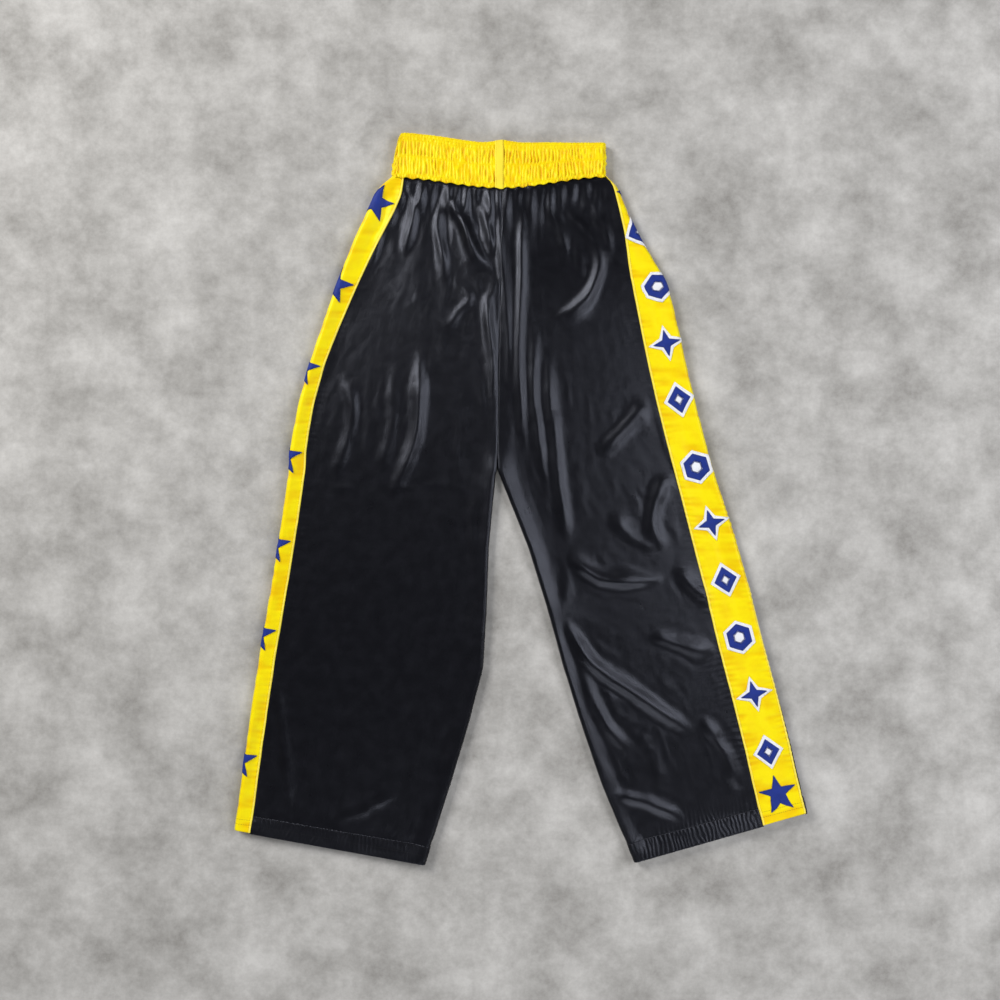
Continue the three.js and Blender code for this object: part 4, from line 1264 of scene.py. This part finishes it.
class TROUSERS_OT_waistband(Operator):
    """Make the shirred waistband, its elastic and the flat strip over its join"""
    bl_idname = "trousers.waistband"
    bl_label = "Waistband"

    def execute(self, context):
        band = LAID["band"]
        s = np.linspace(0, band.ring, BAND_COLUMNS, endpoint=False)
        turn = np.linspace(0, math.pi, 7)[1:-1]
        height = np.concatenate([np.linspace(-0.05, 0.975, 46), 0.975 + 0.02 * np.sin(turn),
                                 np.linspace(0.975, 0.02, 12)])
        lift = np.concatenate([np.full(46, 1.1), 1.1 - 1.4 * (1 - np.cos(turn)), np.full(12, -1.7)])
        lift[:3] = (0.9, 1.15, 1.2)  # the lower edge is sewn down
        grid_s, grid_h = np.meshgrid(s, height)
        points, _ = band.surface(grid_s, grid_h, lift[:, None] * MM)
        depth = band.shirring(grid_s, grid_h)
        uv = np.stack([grid_s, grid_h * BAND_HEIGHT], axis=-1)
        # Painted shade: the yellow darkens towards the shade colour in the shirring's hollows
        crease_shade = np.clip(0.2 - depth / sizes().crinkle * 1.2, 0, 1)
        casing = cloth_grid("waistband_casing_cloth", points, np.array([0, 0, 1]), sizes().cloth, uv,
                            {"crease_shade": crease_shade}, wrap=True)
        settle_in(casing, "Yellow satin, shirred", "yellow_satin", "waistband_casing")
        grid_s, grid_h = np.meshgrid(s[::2], np.linspace(0.1, 0.9, 14))
        points, _ = band.surface(grid_s, grid_h, 0.1 * MM)
        uv = np.stack([grid_s, grid_h * BAND_HEIGHT], axis=-1)
        strip = cloth_grid("waist_elastic_webbing", points, np.array([0, 0, 1]), 0.8 * MM, uv, wrap=True)
        settle_in(strip, "Elastic webbing", "elastic", "waist_elastic")
        self.join(band)
        return {"FINISHED"}

    @staticmethod
    def join(band):
        """The flat strip over the place where the band's ends meet."""
        low, high = band.join
        x = np.linspace(low, high, 13)
        grid_x, grid_h = np.meshgrid(x, np.linspace(-0.065, 0.99, 60))
        s = grid_x - band.left - band.radius
        near = np.minimum(grid_x - low, high - grid_x)
        wave = 0.35 * MM * noise(60, grid_x / 0.006, grid_h * 6)
        wave = wave + 0.3 * MM * noise(61, grid_x / 0.02, grid_h * 9)
        lift = 1.7 * MM + 0.5 * MM * smoothstep(near, 0, 1.2 * MM) + wave
        points = band.place(s, grid_h, 0)
        points[..., 2] += lift
        uv = np.stack([grid_x, grid_h * BAND_HEIGHT], axis=-1)
        # Painted shade in the strip's hollows, and a slight painted highlight over the whole strip
        crease_shade = np.clip(0.1 - wave / (0.6 * MM), 0, 1) * 0.5
        strip = cloth_grid("waistband_join_strip_cloth", points, np.array([0, 0, 1]), 0.5 * MM, uv,
                           {"crease_shade": 0.4 * crease_shade, "edge": np.full(crease_shade.shape, 0.1)})
        settle_in(strip, "Yellow satin", "yellow_satin", "waistband_join_strip")


class TROUSERS_OT_stars(Operator):
    """Make the blue stars of both stripes"""
    bl_idname = "trousers.stars"
    bl_label = "Stars"

    def execute(self, context):
        left, right = LAID["legs"]
        size = sizes()
        outline = pointed(5, size.star, size.star * 0.41)
        for leg, nodes in ((left, [f"left_star_{k}" for k in range(1, 8)]),
                           (right, ["right_star_low", "right_star_high"])):
            for node in nodes:
                station, middle = station_of(leg, node)
                piece = slab_on(node + "_cloth", leg, station, middle, outline, None, OUTSIDE,
                                size.applique)
                settle_in(piece, "Blue twill", "blue_satin", node)
                lay_flat(outline)
                EDGINGS["blue"].append((leg, station, middle, outline, 1.2 * MM))
        return {"FINISHED"}


class TROUSERS_OT_motifs(Operator):
    """Make the white patches and blue motifs of the right stripe"""
    bl_idname = "trousers.motifs"
    bl_label = "Patches and motifs"

    def execute(self, context):
        leg = LAID["legs"][1]
        size = sizes()
        for number in range(1, 11):
            outline, hole = motif_outline((number - 1) % 3, size.motif)
            backing = grown(outline, size.margin)
            station, middle = station_of(leg, f"right_motif_{number}")
            node = f"right_patch_{number}"
            patch = slab_on(node + "_cloth", leg, station, middle, backing, None, OUTSIDE, size.applique)
            settle_in(patch, "White twill", "white_twill", node)
            lay_flat(backing)
            EDGINGS["white"].append((leg, station, middle, backing, 1.2 * MM))
            node = f"right_motif_{number}"
            lift = OUTSIDE + size.applique
            motif = slab_on(node + "_cloth", leg, station, middle, outline, hole, lift, size.applique)
            settle_in(motif, "Blue twill", "blue_satin", node)
            lay_flat(outline, hole)
            EDGINGS["blue"].append((leg, station, middle, outline, lift + 0.25 * MM))
            if hole is not None:
                EDGINGS["blue"].append((leg, station, middle, hole, lift + 0.25 * MM))
        return {"FINISHED"}


def lay_flat(outline, hole=None):
    """Works out an appliqué's cut size and area, and keeps neither."""
    def area(loop):
        after = np.roll(loop, -1, axis=0)
        return abs((loop[:, 0] * after[:, 1] - loop[:, 1] * after[:, 0]).sum()) / 2

    width, height = outline.max(axis=0) - outline.min(axis=0)
    cut = area(outline) - (area(hole) if hole is not None else 0)
    if cut < 0.3 * width * height:  # a slim star is cut from the cloth cornerwise
        width, height = width / math.sqrt(2), height / math.sqrt(2)


class TROUSERS_OT_stitching(Operator):
    """Sew the seams, hems, waistband rows and appliqué edges"""
    bl_idname = "trousers.stitching"
    bl_label = "Stitching"

    def execute(self, context):
        size = sizes()
        seams, inner, hems, hem_rows = [], [], [], []
        for leg in LAID["legs"]:
            v = np.linspace(3 * MM / leg.lengths[-1], 0.998, 700)
            seam, stripe = leg.at("seam", v), leg.at("stripe", v)
            for a in (seam - 2.1 * MM, seam - stripe + 2.1 * MM):
                seams.append((*on_leg(leg, v, a, 0.78 * MM), False))
            low = v[v > HEM_HEIGHT / leg.lengths[-1]]
            below = low[low < leg.split]
            for side in (1, -1):
                beside = side * (leg.at("end", below) - 6 * MM)
                inner.append((*on_leg(leg, below, beside, 0.05 * MM), False))
            across = np.linspace(3 * MM, 57 * MM, 60)
            for up in (12 * MM, 19 * MM):
                rows = np.full(60, up / leg.lengths[-1])
                a = leg.at("seam", rows) - across * leg.at("stripe", rows) / STRIPE
                hems.append((*on_leg(leg, rows, a, 0.62 * MM), False))
            for height in (0.93, 0.52):
                points, _, _ = hem_ring(leg, np.array([height]), np.array([0.62 * MM]))
                hem_rows.append((points[0], self.upward(points[0]), False))
        sew("stripe_stitching", seams, "Yellow thread", 3.1 * MM, size.stitch, size.thread)
        sew("inseam_stitching", inner, "Black thread", 3.1 * MM, size.stitch, size.thread)
        sew("stripe_hem_stitching", hems, "Dark hem thread", 3.0 * MM, size.stitch,
            size.thread)
        sew("hem_stitching", hem_rows, "Black thread", 3.0 * MM, size.stitch, size.thread)
        self.waistband()
        for key, slot in (("blue", "blue_satin"), ("white", "white_twill")):
            lines = []
            for leg, station, middle, outline, lift in EDGINGS[key]:
                loop = resampled(grown(outline, -0.7 * MM), 1.4 * MM)
                v, a = on_stripe(leg, station + loop[:, 1], middle - leg.side * loop[:, 0])
                lines.append((*on_leg(leg, v, a, lift), True))
            sew(f"{key}_edge_stitching", lines, f"{key.title()} thread", 0.75 * MM, 2.0 * MM,
                0.55 * MM,
                turn=math.radians(82))
        return {"FINISHED"}

    @staticmethod
    def upward(points):
        """The way out of a hem: up on its front layer and down on its back one."""
        up = np.zeros_like(points)
        up[:, 2] = np.where(points[:, 2] > UNDER + 4 * MM, 1, -1)
        return up

    @staticmethod
    def waistband():
        band = LAID["band"]
        s = np.linspace(0, band.ring, 700, endpoint=False)
        lines = [(*band.surface(s, np.full(700, row), 1.2 * MM), True) for row in BAND_ROWS]
        sew("waistband_stitching", lines, "Yellow thread", 2.6 * MM, 2.1 * MM,
            sizes().thread)
        h = np.linspace(-0.03, 0.97, 60)
        lines = []
        for x in (band.join[0] + 1.4 * MM, band.join[1] - 1.4 * MM):
            points = band.place(np.full(60, x - band.left - band.radius), h, 0)
            points[:, 2] += 2.35 * MM
            lines.append((points, np.tile([0.0, 0, 1], (60, 1)), False))
        sew("join_strip_stitching", lines, "Yellow thread", 2.8 * MM, 2.2 * MM,
            sizes().thread)


class TROUSERS_OT_stage(Operator):
    """Lay the floor and set the lights and the camera"""
    bl_idname = "trousers.stage"
    bl_label = "Floor, lights and camera"

    def execute(self, context):
        scene = context.scene
        corners = FLOOR_REACH * np.array([(-1, -1, 0), (1, -1, 0), (1, 1, 0), (-1, 1, 0)])
        floor = new_object("floor", corners, [(0, 1, 2, 3)])
        floor.data.materials.append(self.floor_finish())
        for light in LIGHTS:
            self.light(scene, *light)
        world = bpy.data.worlds.new("Soft room")
        scene.world = world
        world.use_nodes = True
        background = world.node_tree.nodes["Background"]
        background.inputs["Color"].default_value, background.inputs["Strength"].default_value = ROOM
        eye = bpy.data.cameras.new("camera")
        eye.lens = LENS
        eye.sensor_width = 36
        camera = bpy.data.objects.new("camera", eye)
        camera.location = CAMERA
        scene.collection.objects.link(camera)
        scene.camera = camera
        scene.view_settings.view_transform = "Standard"
        return {"FINISHED"}

    @staticmethod
    def light(scene, name, place, size, power, tint):
        """An area light, turned to the trousers."""
        lamp = bpy.data.lights.new(name, "AREA")
        lamp.shape = "RECTANGLE"
        lamp.size, lamp.size_y = size
        lamp.energy = power
        lamp.color = tint
        thing = bpy.data.objects.new(name, lamp)
        thing.location = place
        thing.rotation_euler = (Vector(LIT) - Vector(place)).to_track_quat("-Z", "Y").to_euler()
        scene.collection.objects.link(thing)

    @staticmethod
    def floor_finish():
        """Mottled concrete, cloudy at every size."""
        made = bpy.data.materials.new("Floor")
        made.use_nodes = True
        nodes, links = made.node_tree.nodes, made.node_tree.links
        shader = nodes["Principled BSDF"]
        tone = tuple(colours().floor)
        mix = nodes.new("ShaderNodeMix")
        mix.data_type = "RGBA"
        mix.inputs[6].default_value = (0.60 * tone[0], 0.59 * tone[1], 0.575 * tone[2], 1)
        mix.inputs[7].default_value = (*dim(tone, 1.32), 1)
        cloud = nodes.new("ShaderNodeTexNoise")
        cloud.inputs["Scale"].default_value = 9
        cloud.inputs["Detail"].default_value = 12
        cloud.inputs["Roughness"].default_value = 0.74
        spread = nodes.new("ShaderNodeMapRange")
        spread.inputs["From Min"].default_value = 0.33
        spread.inputs["From Max"].default_value = 0.67
        place = nodes.new("ShaderNodeTexCoord")
        links.new(place.outputs["Object"], cloud.inputs["Vector"])
        links.new(cloud.outputs["Fac"], spread.inputs["Value"])
        links.new(spread.outputs["Result"], mix.inputs[0])
        links.new(mix.outputs[2], shader.inputs["Base Color"])
        shader.inputs["Roughness"].default_value = 0.75
        shader.inputs["Specular IOR Level"].default_value = 0.25
        return made


class TROUSERS_PT_sidebar(Panel):
    """The trousers' sizes, colours and pieces"""
    bl_idname = "TROUSERS_PT_sidebar"
    bl_label = "Trousers"
    bl_space_type = "VIEW_3D"
    bl_region_type = "UI"
    bl_category = "Trousers"

    def draw(self, context):
        for group in (context.scene.trousers_sizes, context.scene.trousers_colours):
            for name in group.__annotations__:
                self.layout.prop(group, name)
        for step in STEPS:
            self.layout.operator(step.bl_idname)


STEPS = (TROUSERS_OT_cloth, TROUSERS_OT_panels, TROUSERS_OT_stripes, TROUSERS_OT_hems,
         TROUSERS_OT_waistband, TROUSERS_OT_stars, TROUSERS_OT_motifs, TROUSERS_OT_stitching,
         TROUSERS_OT_stage)
CLASSES = (TrousersSizes, TrousersColours, *STEPS, TROUSERS_PT_sidebar)


def register():
    for each in CLASSES:
        bpy.utils.register_class(each)
    bpy.types.Scene.trousers_sizes = PointerProperty(type=TrousersSizes)
    bpy.types.Scene.trousers_colours = PointerProperty(type=TrousersColours)


def unregister():
    del bpy.types.Scene.trousers_colours
    del bpy.types.Scene.trousers_sizes
    for each in reversed(CLASSES):
        bpy.utils.unregister_class(each)


def main():
    register()
    bpy.ops.trousers.cloth()
    bpy.ops.trousers.panels()
    bpy.ops.trousers.stripes()
    bpy.ops.trousers.hems()
    bpy.ops.trousers.waistband()
    bpy.ops.trousers.stars()
    bpy.ops.trousers.motifs()
    bpy.ops.trousers.stitching()
    bpy.ops.trousers.stage()
    bpy.context.view_layer.update()


if __name__ == "__main__":
    main()
